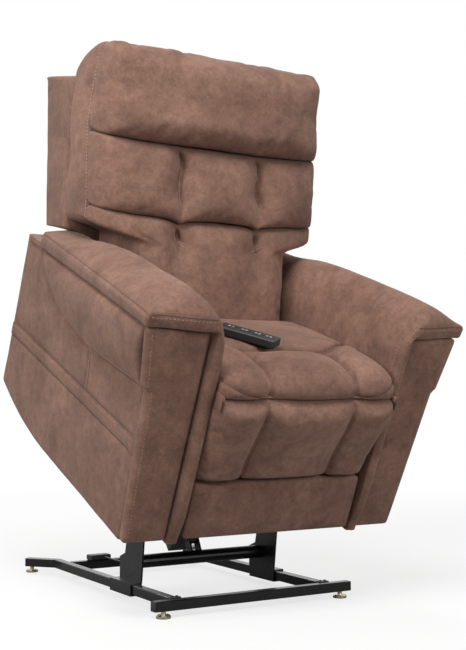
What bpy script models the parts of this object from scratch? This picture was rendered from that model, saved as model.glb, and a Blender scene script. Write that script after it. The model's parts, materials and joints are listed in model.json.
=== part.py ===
"""Power lift recliner chair, modelled in the lifted position.

Units are metres, +Z is up, X is to the right as seen from the front and the chair faces -Y.
The base is modelled level. Everything that lifts is modelled in the chair's own level frame,
and an empty tilts it forward about X, so the numbers below read as they would on a bench.
Each moving group hangs from an empty on its joint's axis.
"""
import math

import bmesh
import bpy
from mathutils import Matrix, Vector

# ---- driving dimensions: whole chair -------------------------------------------------------
LIFT_TILT = math.radians(21.39)      # forward tilt of the chair in the lifted position
FORE_AFT_SHIFT = -0.0286             # puts the bounding box over the origin
GAP = 0.0003                         # clearance between faces that touch

# ---- widths: half the seat, and what lies beside it on each side -----------------------------
SEAT_HALF = 0.2585
SEAT_SIDE_GAP = 0.0032               # seat cushion to the outside of the seat box
BOX_BOARD = 0.0312                   # seat box side
LEAF_THICK = 0.0303                  # inner leaf of the arm, with its gap
ARM_BODY_THICK = 0.1155
ARM_FLARE, CAP_OVERHANG = 0.0445, 0.0625
LEG_SIDE_GAP = 0.0050                # the leg rest is narrower than the seat by this
BACK_SIDE_GAP = 0.0025
BACK_WING = 0.1100                   # reach of the back over the arms
BOX_OUTER_X = SEAT_HALF + SEAT_SIDE_GAP
BOX_INNER_X = BOX_OUTER_X - BOX_BOARD
ARM_LEAF_X = BOX_OUTER_X + LEAF_THICK         # between the arm's inner leaf and its side box
ARM_OUTER_X = ARM_LEAF_X + ARM_BODY_THICK
ARM_FLARE_X = ARM_OUTER_X + ARM_FLARE
CAP_OUTER_X = ARM_OUTER_X + CAP_OVERHANG
LEG_HALF = SEAT_HALF - LEG_SIDE_GAP
BACK_NARROW = SEAT_HALF - BACK_SIDE_GAP
BACK_WIDE = BACK_NARROW + BACK_WING

# ---- the lift linkage's plates, from the seat box inwards --------------------------------------
GUIDE_PLATE, GUIDE_SIDE_GAP = 0.0060, 0.0020
TOWER_PLATE, TOWER_SIDE_GAP = 0.0050, 0.0041   # the gap holds the lift arm bolt's head
ARM_PLATE, ARM_SIDE_GAP = 0.0085, 0.0015
HANGER_PLATE, HANGER_SIDE_GAP = 0.0080, 0.0024
BOLT_HEAD = 0.0030
GUIDE_INNER_X = BOX_INNER_X - GUIDE_SIDE_GAP - GUIDE_PLATE
TOWER_INNER_X = GUIDE_INNER_X - TOWER_SIDE_GAP - TOWER_PLATE
ARM_INNER_X = TOWER_INNER_X - ARM_SIDE_GAP - ARM_PLATE
HANGER_INNER_X = ARM_INNER_X - HANGER_SIDE_GAP - HANGER_PLATE

# ---- driving dimensions: base frame --------------------------------------------------------
TUBE = 0.026                         # square tube of the base
FOOT_HEIGHT = 0.018                  # underside of the tubes above the floor
RAIL_OUTSET, FRONT_TUBE_OVERHANG = 0.0313, 0.0568
RAIL_OUTER_X = TOWER_INNER_X + RAIL_OUTSET
FRONT_TUBE_HALF = RAIL_OUTER_X + FRONT_TUBE_OVERHANG
FRONT_TUBE_Y = -0.285                # front face of the front tube
RAIL_BEND_Y = 0.536
SPLAY_X = 0.0686                     # rear stubs turn outwards by this
SPLAY_Y = 0.0779                     # over this length
REAR_TUBE_Y = 0.450
FOOT_RADIUS = 0.019
FOOT_STEM_RADIUS = 0.006
FOOT_DISC = 0.009
FOOT_INSET = 0.0275                  # foot centre from the tube's end

# ---- driving dimensions: lift linkage (y, z in the base frame unless noted) ----------------
ARM_PIVOT = Vector((0.020, 0.230))           # lift arm on the tower
GUIDE_PIVOT = Vector((-0.030, 0.220))        # guide link on the tower
CHAIR_PIVOT = Vector((0.430, 0.340))         # lift arm on the chair, chair frame
CHAIR_GUIDE_PIVOT = Vector((0.330, 0.340))   # guide link on the chair, chair frame
MOTOR_PIVOT = Vector((0.080, 0.140))         # lift motor's tail on the base
HEAD_PIVOT = Vector((0.600, 0.360))          # lift ram's head on the chair, chair frame
TOWER_REACH = 0.022                   # plate edge beyond its pivots
SLEEVE_WALL = 0.004
SLEEVE_FRONT_Y, SLEEVE_REAR_Y = -0.028, 0.106
ARM_WIDTH = 0.034
GUIDE_WIDTH = 0.026
GUIDE_PLAY = 0.0012                   # clearance of the guide link's open pivot at the chair
PIN_RADIUS = 0.006
ARM_CROSS_RADIUS = 0.015
ARM_CROSS_SHARE = 0.25                # where the cross tube sits along the lift arms
MID_TUBE_RADIUS = 0.019
MID_TUBE_Y, MID_TUBE_Z = 0.055, 0.093
RAM_RADIUS = 0.010
RAM_EYE_HOLE = 0.0125                 # open pivot: the lift ram's eye round its pin
RAM_EYE_OFFSET = Vector((0.0007, 0.0057))     # eye centre from the pin at rest, chair frame
MOTOR_TUBE_RADIUS = 0.019
MOTOR_TUBE_LENGTH = 0.330
MOTOR_BODY_RADIUS = 0.029
MOTOR_BODY_LENGTH = 0.135
MOTOR_OFFSET = 0.060                  # motor's axis beside the ram's
CLEVIS_INNER, CLEVIS_PLATE = 0.0120, 0.005

# ---- driving dimensions: seat box and upholstery (chair frame) ------------------------------
CHAIR_BOTTOM = 0.288
BOX_FRONT_Y, BOX_REAR_Y = -0.185, 0.718
BOX_BOTTOM_Z, BOX_REAR_BOTTOM_Z = 0.310, 0.372
REAR_PANEL_THICK, REAR_PANEL_TOP_Z = 0.020, 0.640
DECK_TOP_Z, DECK_THICK = 0.600, 0.0155
DECK_FRONT_Y, DECK_REAR_Y = -0.100, 0.485
BACK_PIVOT = Vector((0.600, 0.660))
BACK_RANGE = math.radians(30.0)
LEG_RANGE = math.radians(85.0)
CAP_EDGE_TOP_Z, CAP_EDGE_LOW_Z = 0.900, 0.863
CAP_CROWN_Z = 0.946
ARM_FRONT_Y, ARM_FRONT_LEAN = -0.223, 0.070   # front face at the bottom, and its lean forward
ARM_FRONT_THICK = 0.032
ARM_NOTCH_Z = 0.708                   # step in the front panel's outer edge
ARM_CAP_REAR_Y = 0.585
ARM_REAR_TOP_Z = 0.846                # top of the side behind the cap
SEAT_FRONT_Y, SEAT_REAR_Y = -0.299, 0.222
SEAT_LIP_Z = 0.7125                   # underside of the front roll, over the leg rest
SEAT_CROWN_Z = 0.792
SEAM_X = 0.129                        # the two lengthwise seams of the seat and leg rest
LEG_TOP_GAP, FOOT_TOP_GAP = 0.009, 0.009      # under the seat's roll and under the leg pad
LEG_PAD_TOP_Z, LEG_PAD_LOW_Z = SEAT_LIP_Z - LEG_TOP_GAP, 0.472
FOOT_PANEL_TOP_Z, FOOT_PANEL_LOW_Z = LEG_PAD_LOW_Z - FOOT_TOP_GAP, 0.307
LEG_PIVOT = Vector((-0.300, LEG_PAD_TOP_Z + 0.001))
LEG_BOARD_FRONT_Y, LEG_BOARD_THICK = -0.2150, 0.014
WING_FRONT_Z, WING_FRONT_Y, WING_SLOPE = 0.937, 0.380, 0.195
LOWER_TOP_Z, MIDDLE_TOP_Z, HEAD_TOP_Z = 1.004, 1.203, 1.455
BACK_BOTTOM_Z = 0.622
BACK_LEAN = 0.283                     # of the cushions' front, in y per z
REAR_LEAN = 0.254                     # of the cushions' rear plane
BACK_FRONT_Y, BACK_FRONT_Z = 0.382, 1.007     # a point of the front line
BACK_REAR_Y, BACK_REAR_Z = 0.5637, 0.913      # a point of the rear line
SHELL_TOP_FRONT_Z, SHELL_TOP_REAR_Z = 1.334, 1.304
SHELL_LOW_Y, SHELL_REAR_Y = 0.672, 0.717      # rear of the shell at its foot and at its wings
SHELL_HIP_Z, SHELL_WING_Z = 0.720, 0.867      # where it widens to the cushions and to the wings
SHELL_LEAN = 0.391
BACK_SEAM_X, BACK_SEAM_U = 0.125, 0.36        # stitched columns, and their share of the width
HEAD_TOP_DROP = 0.095                 # the head cushion's top falls this much to the rear

# ---- driving dimensions: recline and leg-rest drives (chair frame) --------------------------
DRIVE_X = 0.130                       # half the distance between the two drives
DRIVE_RAM_RADIUS = 0.008
DRIVE_TUBE_RADIUS = 0.013
DRIVE_PIN_RADIUS = 0.004
DRIVE_MOTOR_RADIUS = 0.022
YOKE_HALF = 0.004                     # half the thickness of a ram's end plate
PUSHER = 0.006                        # depth of the plate that pushes the leg rest's crank
PUSHER_PLAY = 0.0058                  # open pivot: its face behind the crank's pin
BACK_CRANK = 0.120                    # crank radius of the recline
BACK_GEAR_Y, BACK_TUBE_END_Y, BACK_MOTOR_END_Y = 0.270, 0.420, 0.110
BACK_RAM_END_Y = 0.340                # the ram's end inside its tube
LEG_CRANK = 0.199                     # crank radius of the leg rest
LEG_GEAR_Y, LEG_TUBE_END_Y, LEG_MOTOR_END_Y = 0.190, -0.140, 0.340
LEG_RAM_END_Y = 0.175

# ---- handset --------------------------------------------------------------------------------
HANDSET_SIZE = Vector((0.160, 0.055, 0.022))
HANDSET_AT = Vector((-0.078, -0.080))
HANDSET_TURN = math.radians(-50.0)
HANDSET_Z = SEAT_CROWN_Z - 0.0073     # underside, on the seat's crown
KEY_SIZE = Vector((0.026, 0.016, 0.004))
KEY_TRAVEL = 0.0012

COS, SIN = math.cos(LIFT_TILT), math.sin(LIFT_TILT)


def to_base(point):
    """A (y, z) point of the lifted chair's frame in the base frame."""
    return Vector((COS * point[0] - SIN * point[1], SIN * point[0] + COS * point[1]))


# ---- scene, collections, materials ----------------------------------------------------------
def clear_scene():
    for obj in list(bpy.data.objects):
        bpy.data.objects.remove(obj, do_unlink=True)


def collection(name):
    made = bpy.data.collections.new(name)
    bpy.context.scene.collection.children.link(made)
    return made


clear_scene()
PARTS = collection("lift_recliner_chair")


def material(name, color, roughness, metallic=0.0):
    made = bpy.data.materials.new(name)
    made.use_nodes = True
    shader = made.node_tree.nodes["Principled BSDF"]
    shader.inputs["Base Color"].default_value = (*color, 1.0)
    shader.inputs["Roughness"].default_value = roughness
    shader.inputs["Metallic"].default_value = metallic
    return made


FINISHES = {
    "upholstery": ((0.20, 0.115, 0.085), 0.75, 0.0),
    "frame_black": ((0.012, 0.012, 0.013), 0.35, 0.6),
    "steel": ((0.45, 0.43, 0.40), 0.30, 1.0),
    "plywood": ((0.45, 0.32, 0.19), 0.70, 0.0),
    "motor_black": ((0.018, 0.018, 0.020), 0.55, 0.0),
    "handset_black": ((0.020, 0.020, 0.024), 0.40, 0.0),
    "key_grey": ((0.30, 0.31, 0.33), 0.50, 0.0),
    "cable_black": ((0.015, 0.015, 0.016), 0.60, 0.0),
}


# ---- groups: an empty on each joint's axis ---------------------------------------------------
class Group:
    """An empty, and where it stands in the frame that its pieces are drawn in."""

    def __init__(self, name, parent=None, pivot=(0.0, 0.0), tilt=0.0):
        self.pivot = Vector((0.0, pivot[0], pivot[1]))
        self.empty = bpy.data.objects.new(name, None)
        PARTS.objects.link(self.empty)
        self.empty.rotation_euler.x = tilt
        if parent:
            self.empty.parent = parent.empty
            self.empty.location = self.pivot - parent.pivot


def place(obj, group, finish):
    """Names the piece's material and hangs it from its group's empty."""
    obj.parent = group.empty
    obj.location = -group.pivot
    obj.data.materials.clear()
    obj.data.materials.append(material(obj.name, *FINISHES[finish]))
    return obj


def new_object(name, mesh):
    obj = bpy.data.objects.new(name, mesh)
    PARTS.objects.link(obj)
    return obj


def mesh_of(name, bm):
    mesh = bpy.data.meshes.new(name)
    bmesh.ops.recalc_face_normals(bm, faces=bm.faces)
    if bm.calc_volume(signed=True) < 0:
        bmesh.ops.reverse_faces(bm, faces=bm.faces)
    bm.to_mesh(mesh)
    bm.free()
    return mesh


def evaluated(obj):
    """The object's mesh with its modifiers applied and its caps welded."""
    bpy.context.view_layer.update()
    graph = bpy.context.evaluated_depsgraph_get()
    mesh = bpy.data.meshes.new_from_object(obj.evaluated_get(graph))
    bm = bmesh.new()
    bm.from_mesh(mesh)
    bmesh.ops.remove_doubles(bm, verts=bm.verts, dist=0.00001)
    bm.to_mesh(mesh)
    bm.free()
    return mesh


def combine(base, others, operation="UNION"):
    """Joins other objects to the base, or cuts them out of it."""
    for other in others:
        change = base.modifiers.new("combine", "BOOLEAN")
        change.operation = operation
        change.solver = "EXACT"
        change.object = other
        mesh = evaluated(base)
        base.modifiers.clear()
        base.data = mesh
        bpy.data.objects.remove(other, do_unlink=True)
    return base


def bevel(obj, width, segments=2, angle=40.0):
    edge = obj.modifiers.new("edges", "BEVEL")
    edge.width = width
    edge.segments = segments
    edge.limit_method = "ANGLE"
    edge.angle_limit = math.radians(angle)
    return obj


def smooth(obj, angle=35.0):
    obj.data.shade_smooth()
    obj.data.set_sharp_from_angle(angle=math.radians(angle))
    return obj


# ---- shapes ----------------------------------------------------------------------------------
def box(name, low, high, edge=0.0):
    bm = bmesh.new()
    bmesh.ops.create_cube(bm, size=1.0)
    low, high = Vector(low), Vector(high)
    centre, size = (low + high) / 2, high - low
    bmesh.ops.scale(bm, vec=size, verts=bm.verts)
    bmesh.ops.translate(bm, vec=centre, verts=bm.verts)
    obj = new_object(name, mesh_of(name, bm))
    if edge:
        bevel(obj, edge, 1)
    return obj


def rod(name, start, end, radius, sides=16):
    """A round bar between two points."""
    start, end = Vector(start), Vector(end)
    along = end - start
    bm = bmesh.new()
    bmesh.ops.create_cone(bm, cap_ends=True, segments=sides, radius1=radius, radius2=radius,
                          depth=along.length)
    turn = Vector((0, 0, 1)).rotation_difference(along).to_matrix().to_4x4()
    bm.transform(Matrix.Translation((start + end) / 2) @ turn)
    return smooth(new_object(name, mesh_of(name, bm)))


def turned(name, profile, start, along, steps=16):
    """A turned piece: (radius, height) points from its tip to its base, about a line."""
    bm = bmesh.new()
    verts = [bm.verts.new((radius, 0.0, height)) for radius, height in profile]
    for first, second in zip(verts, verts[1:]):
        bm.edges.new((first, second))
    mesh = bpy.data.meshes.new(name)
    bm.to_mesh(mesh)
    bm.free()
    obj = new_object(name, mesh)
    screw = obj.modifiers.new("turn", "SCREW")
    screw.steps = steps
    screw.render_steps = steps
    screw.use_merge_vertices = True
    screw.merge_threshold = 0.00001
    mesh = evaluated(obj)
    turn = Vector((0, 0, 1)).rotation_difference(Vector(along)).to_matrix().to_4x4()
    mesh.transform(Matrix.Translation(Vector(start)) @ turn)
    obj.modifiers.clear()
    obj.data = mesh
    return smooth(obj)


def arc(centre, radius, start, end, steps=6):
    """Points on an arc; the angles are in degrees."""
    turns = [math.radians(start + (end - start) * i / steps) for i in range(steps + 1)]
    return [(centre[0] + radius * math.cos(t), centre[1] + radius * math.sin(t)) for t in turns]


def circle(centre, radius, count=16):
    return arc(centre, radius, 0.0, 360.0 * (count - 1) / count, count - 1)


def link_outline(first, second, width):
    """The outline of a bar with round ends about two points."""
    first, second = Vector(first), Vector(second)
    heading = math.degrees(math.atan2(second.y - first.y, second.x - first.x))
    return (arc(first, width / 2, heading + 90, heading + 270)
            + arc(second, width / 2, heading - 90, heading + 90))


SIDE_VIEW = Matrix(((0, 0, 1, 0), (1, 0, 0, 0), (0, 1, 0, 0), (0, 0, 0, 1)))


def plate(name, outline, low, high, holes=(), to_frame=SIDE_VIEW):
    """A flat outline with holes, given thickness. In the side view its points are (y, z)
    and it lies between two values of x."""
    curve = bpy.data.curves.new(name, "CURVE")
    curve.dimensions = "2D"
    curve.fill_mode = "BOTH"
    curve.extrude = abs(high - low) / 2
    for loop in (outline, *holes):
        spline = curve.splines.new("POLY")
        spline.points.add(len(loop) - 1)
        spline.use_cyclic_u = True
        for point, (across, up) in zip(spline.points, loop):
            point.co = (across, up, 0.0, 1.0)
    draft = new_object(name + "_outline", curve)
    mesh = evaluated(draft)
    bpy.data.objects.remove(draft, do_unlink=True)
    mesh.transform(to_frame @ Matrix.Translation((0.0, 0.0, (low + high) / 2)))
    if to_frame.determinant() < 0:
        mesh.flip_normals()
    mesh.name = name
    return smooth(new_object(name, mesh))


def pad(name, cuts, shape, levels=1):
    """A soft form: a block cut into cells, each corner moved by shape(u, v, w), then rounded
    by a subdivision surface. cuts holds the cell borders along x, y and z, from -1 to 1."""
    bm = bmesh.new()
    bmesh.ops.create_cube(bm, size=2.0)
    for axis, borders in enumerate(cuts):
        normal = Vector((axis == 0, axis == 1, axis == 2))
        for border in borders:
            geometry = bm.verts[:] + bm.edges[:] + bm.faces[:]
            bmesh.ops.bisect_plane(bm, geom=geometry, dist=0.000001, plane_co=normal * border,
                                   plane_no=normal)
    for vert in bm.verts:
        vert.co = Vector(shape(*vert.co))
    obj = new_object(name, mesh_of(name, bm))
    if levels:
        rounding = obj.modifiers.new("rounding", "SUBSURF")
        rounding.levels = levels
        rounding.render_levels = levels
    obj.data.shade_smooth()
    return obj


def loft(name, rings):
    """A skin over rings of equal point counts, closed at both ends."""
    bm = bmesh.new()
    rows = [[bm.verts.new(point) for point in ring] for ring in rings]
    count = len(rows[0])
    for row, following in zip(rows, rows[1:]):
        for i in range(count):
            j = (i + 1) % count
            bm.faces.new((row[i], row[j], following[j], following[i]))
    bm.faces.new(rows[0])
    bm.faces.new(rows[-1])
    return smooth(new_object(name, mesh_of(name, bm)), 30.0)


def mix(start, end, share):
    return start + (end - start) * share


def ease(share):
    """0 to 1 with a soft start and end."""
    share = min(max(share, 0.0), 1.0)
    return share * share * (3.0 - 2.0 * share)


def dip(distance, width):
    """1 on a seam, falling to 0 beside it."""
    return math.exp(-(distance / width) ** 2)


# ---- the groups ------------------------------------------------------------------------------
base = Group("base_origin")
base.empty.location.y = FORE_AFT_SHIFT
chair = Group("lifted_chair", base, tilt=LIFT_TILT)
chair.empty.location = (0.0, 0.0, 0.0)
lift_arms = Group("lift_arm_axis", base, ARM_PIVOT)
guide_links = Group("guide_link_axis", base, GUIDE_PIVOT)
lift_motor_axis = Group("lift_motor_axis", base, MOTOR_PIVOT)
lift_ram_axis = Group("lift_ram_axis", lift_motor_axis, MOTOR_PIVOT)
backrest = Group("backrest_axis", chair, BACK_PIVOT)
leg_rest = Group("leg_rest_axis", chair, LEG_PIVOT)
back_drive = Group("back_ram_axis", chair, BACK_PIVOT)
leg_drive = Group("leg_ram_axis", chair, LEG_PIVOT)
handset_keys = Group("handset_key_axis", chair, HANDSET_AT)

SIDES = (("right", -1.0), ("left", 1.0))     # the sitter's right is at -X


def span(side, low, high):
    """An x interval given for the left side, on either side."""
    return (low, high) if side > 0 else (-high, -low)


# ---- base ------------------------------------------------------------------------------------
TUBE_TOP = FOOT_HEIGHT + TUBE


def rail_ring(y, x_outer, direction):
    """A square section of a side rail, square to its heading."""
    heading = Vector(direction).normalized()
    across = Vector((heading.y, -heading.x))
    corners = []
    for inward, z in ((0, FOOT_HEIGHT), (TUBE, FOOT_HEIGHT), (TUBE, TUBE_TOP), (0, TUBE_TOP)):
        corners.append((x_outer - across.x * inward, y - across.y * inward, z))
    return corners


def make_base():
    front = box("base_front_tube", (-FRONT_TUBE_HALF, FRONT_TUBE_Y, FOOT_HEIGHT),
                (FRONT_TUBE_HALF, FRONT_TUBE_Y + TUBE, TUBE_TOP), 0.002)
    place(front, base, "frame_black")
    inner = RAIL_OUTER_X - TUBE - GAP
    rear = box("base_rear_tube", (-inner, REAR_TUBE_Y, FOOT_HEIGHT),
               (inner, REAR_TUBE_Y + TUBE, TUBE_TOP), 0.002)
    place(rear, base, "frame_black")
    rail_front = FRONT_TUBE_Y + TUBE + GAP
    splay = Vector((SPLAY_X, SPLAY_Y))
    halfway = (splay.normalized() + Vector((0, 1))).normalized()
    for label, side in SIDES:
        rings = [rail_ring(rail_front, RAIL_OUTER_X, (0, 1)),
                 rail_ring(RAIL_BEND_Y, RAIL_OUTER_X, halfway),
                 rail_ring(RAIL_BEND_Y + SPLAY_Y, RAIL_OUTER_X + SPLAY_X, splay)]
        rings = [[(side * x, y, z) for x, y, z in ring] for ring in rings]
        place(bevel(loft("base_rail_" + label, rings), 0.002), base, "frame_black")
        heading = splay.normalized()
        across = Vector((heading.y, -heading.x))
        stub = Vector((RAIL_OUTER_X + SPLAY_X, RAIL_BEND_Y + SPLAY_Y))
        rear_foot = stub - across * TUBE / 2 - heading * FOOT_RADIUS
        front_foot = (FRONT_TUBE_HALF - FOOT_INSET, FRONT_TUBE_Y + TUBE / 2)
        for end, spot in (("front", front_foot), ("rear", rear_foot)):
            make_foot("glide_foot_" + end + "_" + label, (side * spot[0], spot[1]))


def make_foot(name, spot):
    top = FOOT_HEIGHT - GAP
    profile = [(0.0, top), (FOOT_STEM_RADIUS, top), (FOOT_STEM_RADIUS, FOOT_DISC),
               (FOOT_RADIUS * 0.86, FOOT_DISC), (FOOT_RADIUS, FOOT_DISC * 0.7),
               (FOOT_RADIUS, 0.001), (FOOT_RADIUS - 0.001, 0.0), (0.0, 0.0)]
    place(turned(name, profile, (spot[0], spot[1], 0.0), (0, 0, 1)), base, "steel")


def make_tower(label, side):
    """A sleeve round the rail, an upright plate on it and the guide link's stud."""
    inner, outer = RAIL_OUTER_X - TUBE - GAP, RAIL_OUTER_X + GAP
    foot_z = TUBE_TOP + GAP
    low, high = span(side, inner - SLEEVE_WALL, outer + SLEEVE_WALL)
    tower = box("lift_tower_" + label, (low, SLEEVE_FRONT_Y, FOOT_HEIGHT - GAP - SLEEVE_WALL),
                (high, SLEEVE_REAR_Y, foot_z + SLEEVE_WALL))
    low, high = span(side, inner, outer)
    slot = box("slot", (low, SLEEVE_FRONT_Y - 0.01, FOOT_HEIGHT - GAP),
               (high, SLEEVE_REAR_Y + 0.01, foot_z))
    combine(tower, [slot], "DIFFERENCE")
    low, high = span(side, TOWER_INNER_X, TOWER_INNER_X + TOWER_PLATE)
    root_z = foot_z + SLEEVE_WALL / 2
    outline = ([(SLEEVE_REAR_Y, root_z), (SLEEVE_REAR_Y, 0.105), (0.072, 0.118)]
               + arc(ARM_PIVOT, TOWER_REACH, 10, 90, 4)
               + arc(GUIDE_PIVOT, TOWER_REACH, 100, 200, 5) + [(SLEEVE_FRONT_Y, root_z)])
    upright = plate("upright", outline, low, high, [circle(ARM_PIVOT, PIN_RADIUS + GAP)])
    stud = rod("stud", (side * (TOWER_INNER_X + TOWER_PLATE / 2), *GUIDE_PIVOT),
               (side * (GUIDE_INNER_X + GUIDE_PLATE), *GUIDE_PIVOT), PIN_RADIUS)
    place(combine(tower, [upright, stud]), base, "frame_black")
    shank = ARM_INNER_X - TOWER_INNER_X - TOWER_PLATE - GAP
    head = PIN_RADIUS + 0.004
    pin = [(0.0, -shank), (PIN_RADIUS, -shank), (PIN_RADIUS, 0.0), (head, 0.0),
           (head, -BOLT_HEAD), (0.0, -BOLT_HEAD)]
    start = TOWER_INNER_X + TOWER_PLATE + GAP
    bolt = turned("lift_arm_bolt_" + label, pin, (side * start, *ARM_PIVOT), (-side, 0, 0))
    place(bolt, base, "steel")


def make_lift_base():
    for label, side in SIDES:
        make_tower(label, side)
    inner = TOWER_INNER_X - GAP
    tube = rod("base_mid_tube", (-inner, MID_TUBE_Y, MID_TUBE_Z), (inner, MID_TUBE_Y, MID_TUBE_Z),
               MID_TUBE_RADIUS, 20)
    ears = []
    for side in (-1, 1):
        low, high = span(side, CLEVIS_INNER, CLEVIS_INNER + CLEVIS_PLATE)
        ears.append(plate("ear", link_outline((MID_TUBE_Y, MID_TUBE_Z), MOTOR_PIVOT, 0.026),
                          low, high))
    outer = CLEVIS_INNER + CLEVIS_PLATE + 0.002
    pin = rod("tail_pin", (-outer, *MOTOR_PIVOT), (outer, *MOTOR_PIVOT), PIN_RADIUS)
    place(combine(tube, [*ears, pin]), base, "frame_black")


def smooth_route(points, spacing):
    """Evenly spaced points on a smooth curve through the route's own points."""
    points = [Vector(p) for p in points]
    padded = [2 * points[0] - points[1], *points, 2 * points[-1] - points[-2]]
    fine = []
    for a, b, c, d in zip(padded, padded[1:], padded[2:], padded[3:]):
        for step in range(16):
            t = step / 16
            fine.append(0.5 * ((2 * b) + (c - a) * t + (2 * a - 5 * b + 4 * c - d) * t * t
                               + (3 * b - a - 3 * c + d) * t ** 3))
    fine.append(points[-1])
    total = sum((q - p).length for p, q in zip(fine, fine[1:]))
    count = max(2, round(total / spacing))
    route, walked, target = [fine[0]], 0.0, total / count
    for p, q in zip(fine, fine[1:]):
        length = (q - p).length
        while walked + length >= target and len(route) < count:
            route.append(p.lerp(q, (target - walked) / length))
            target += total / count
        walked += length
    return [*route, fine[-1]]


CABLE_RADIUS = 0.003
BOX_LOW = Vector((-0.160, REAR_TUBE_Y - 0.006, TUBE_TOP + GAP))
BOX_HIGH = Vector((-0.090, REAR_TUBE_Y + 0.030, TUBE_TOP + 0.017))
CABLE_ROUTE = ((-0.112, BOX_LOW.y - GAP, 0.053), (-0.110, 0.405, 0.052), (-0.098, 0.330, 0.050),
               (-0.082, 0.250, 0.052), (-0.068, 0.180, 0.062), (-0.060, 0.120, 0.082),
               (-0.058, MID_TUBE_Y + MID_TUBE_RADIUS + GAP, MID_TUBE_Z))


def make_junction():
    place(box("junction_box", BOX_LOW, BOX_HIGH, 0.003), base, "motor_black")
    curve = bpy.data.curves.new("junction_cable", "CURVE")
    curve.dimensions = "3D"
    curve.bevel_depth = CABLE_RADIUS
    curve.bevel_resolution = 2
    curve.use_fill_caps = True
    route = smooth_route(CABLE_ROUTE, 0.018)
    spline = curve.splines.new("POLY")
    spline.points.add(len(route) - 1)
    for point, spot in zip(spline.points, route):
        point.co = (*spot, 1.0)
    place(new_object("junction_cable", curve), base, "cable_black")


# ---- lift linkage ----------------------------------------------------------------------------
def make_lift_arms():
    chair_end = to_base(CHAIR_PIVOT)
    outline = link_outline(ARM_PIVOT, chair_end, ARM_WIDTH)
    holes = [circle(ARM_PIVOT, PIN_RADIUS + GAP), circle(chair_end, PIN_RADIUS + GAP)]
    for label, side in SIDES:
        low, high = span(side, ARM_INNER_X, ARM_INNER_X + ARM_PLATE)
        place(plate("lift_arm_" + label, outline, low, high, holes), lift_arms, "frame_black")
    spot = ARM_PIVOT.lerp(chair_end, ARM_CROSS_SHARE)
    half = ARM_INNER_X - GAP
    cross = rod("lift_arm_cross_tube", (-half, *spot), (half, *spot), ARM_CROSS_RADIUS)
    place(cross, lift_arms, "frame_black")
    guide_end = to_base(CHAIR_GUIDE_PIVOT)
    hole = PIN_RADIUS + GUIDE_PLAY
    for label, side in SIDES:
        low, high = span(side, GUIDE_INNER_X, GUIDE_INNER_X + GUIDE_PLATE)
        bar = plate("guide_link_" + label, link_outline(GUIDE_PIVOT, guide_end, GUIDE_WIDTH),
                    low, high, [circle(GUIDE_PIVOT, PIN_RADIUS + GAP), circle(guide_end, hole)])
        place(bar, guide_links, "frame_black")


def make_lift_motor():
    """The motor and its gearbox swing on the tail pin; the ram slides out of the tube."""
    head = to_base(HEAD_PIVOT + RAM_EYE_OFFSET)
    along = (head - MOTOR_PIVOT).normalized()
    beside = Vector((along.y, -along.x))

    def spot(distance, offset=0.0):
        return MOTOR_PIVOT + along * distance + beside * offset

    heading = math.atan2(along.y, along.x)
    turn = Matrix.Rotation(heading, 4, "X")
    home = Matrix.Translation((0.0, *MOTOR_PIVOT)) @ turn
    gearbox = box("lift_motor", (-0.034, 0.021, -MOTOR_OFFSET - 0.030), (0.034, 0.073, 0.027))
    gearbox.data.transform(home)
    tail = plate("tail", link_outline((0.0, 0.0), (0.030, 0.0), 0.026),
                 GAP - CLEVIS_INNER, CLEVIS_INNER - GAP, [circle((0, 0), PIN_RADIUS + GAP)])
    tail.data.transform(home)
    start = spot(0.070, MOTOR_OFFSET)
    end = spot(0.070 + MOTOR_BODY_LENGTH, MOTOR_OFFSET)
    motor = rod("motor", (0.0, *start), (0.0, *end), MOTOR_BODY_RADIUS, 20)
    tube_end = spot(0.070 + MOTOR_TUBE_LENGTH)
    tube = rod("tube", (0.0, *spot(0.070)), (0.0, *tube_end), MOTOR_TUBE_RADIUS, 20)
    bore = rod("bore", (0.0, *spot(0.095)), (0.0, *spot(0.095 + MOTOR_TUBE_LENGTH)),
               RAM_RADIUS + GAP, 20)
    whole = combine(gearbox, [tail, motor, tube])
    place(smooth(combine(whole, [bore], "DIFFERENCE")), lift_motor_axis, "motor_black")
    eye_outer = RAM_EYE_HOLE + 0.0055
    eye = plate("lift_ram", circle(head, eye_outer, 20), GAP - CLEVIS_INNER, CLEVIS_INNER - GAP,
                [circle(head, RAM_EYE_HOLE, 20)])
    shaft_end = head - along * (RAM_EYE_HOLE + 0.003)
    shaft = rod("shaft", (0.0, *(shaft_end - along * 0.250)), (0.0, *shaft_end), RAM_RADIUS)
    place(combine(eye, [shaft]), lift_ram_axis, "steel")


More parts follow.
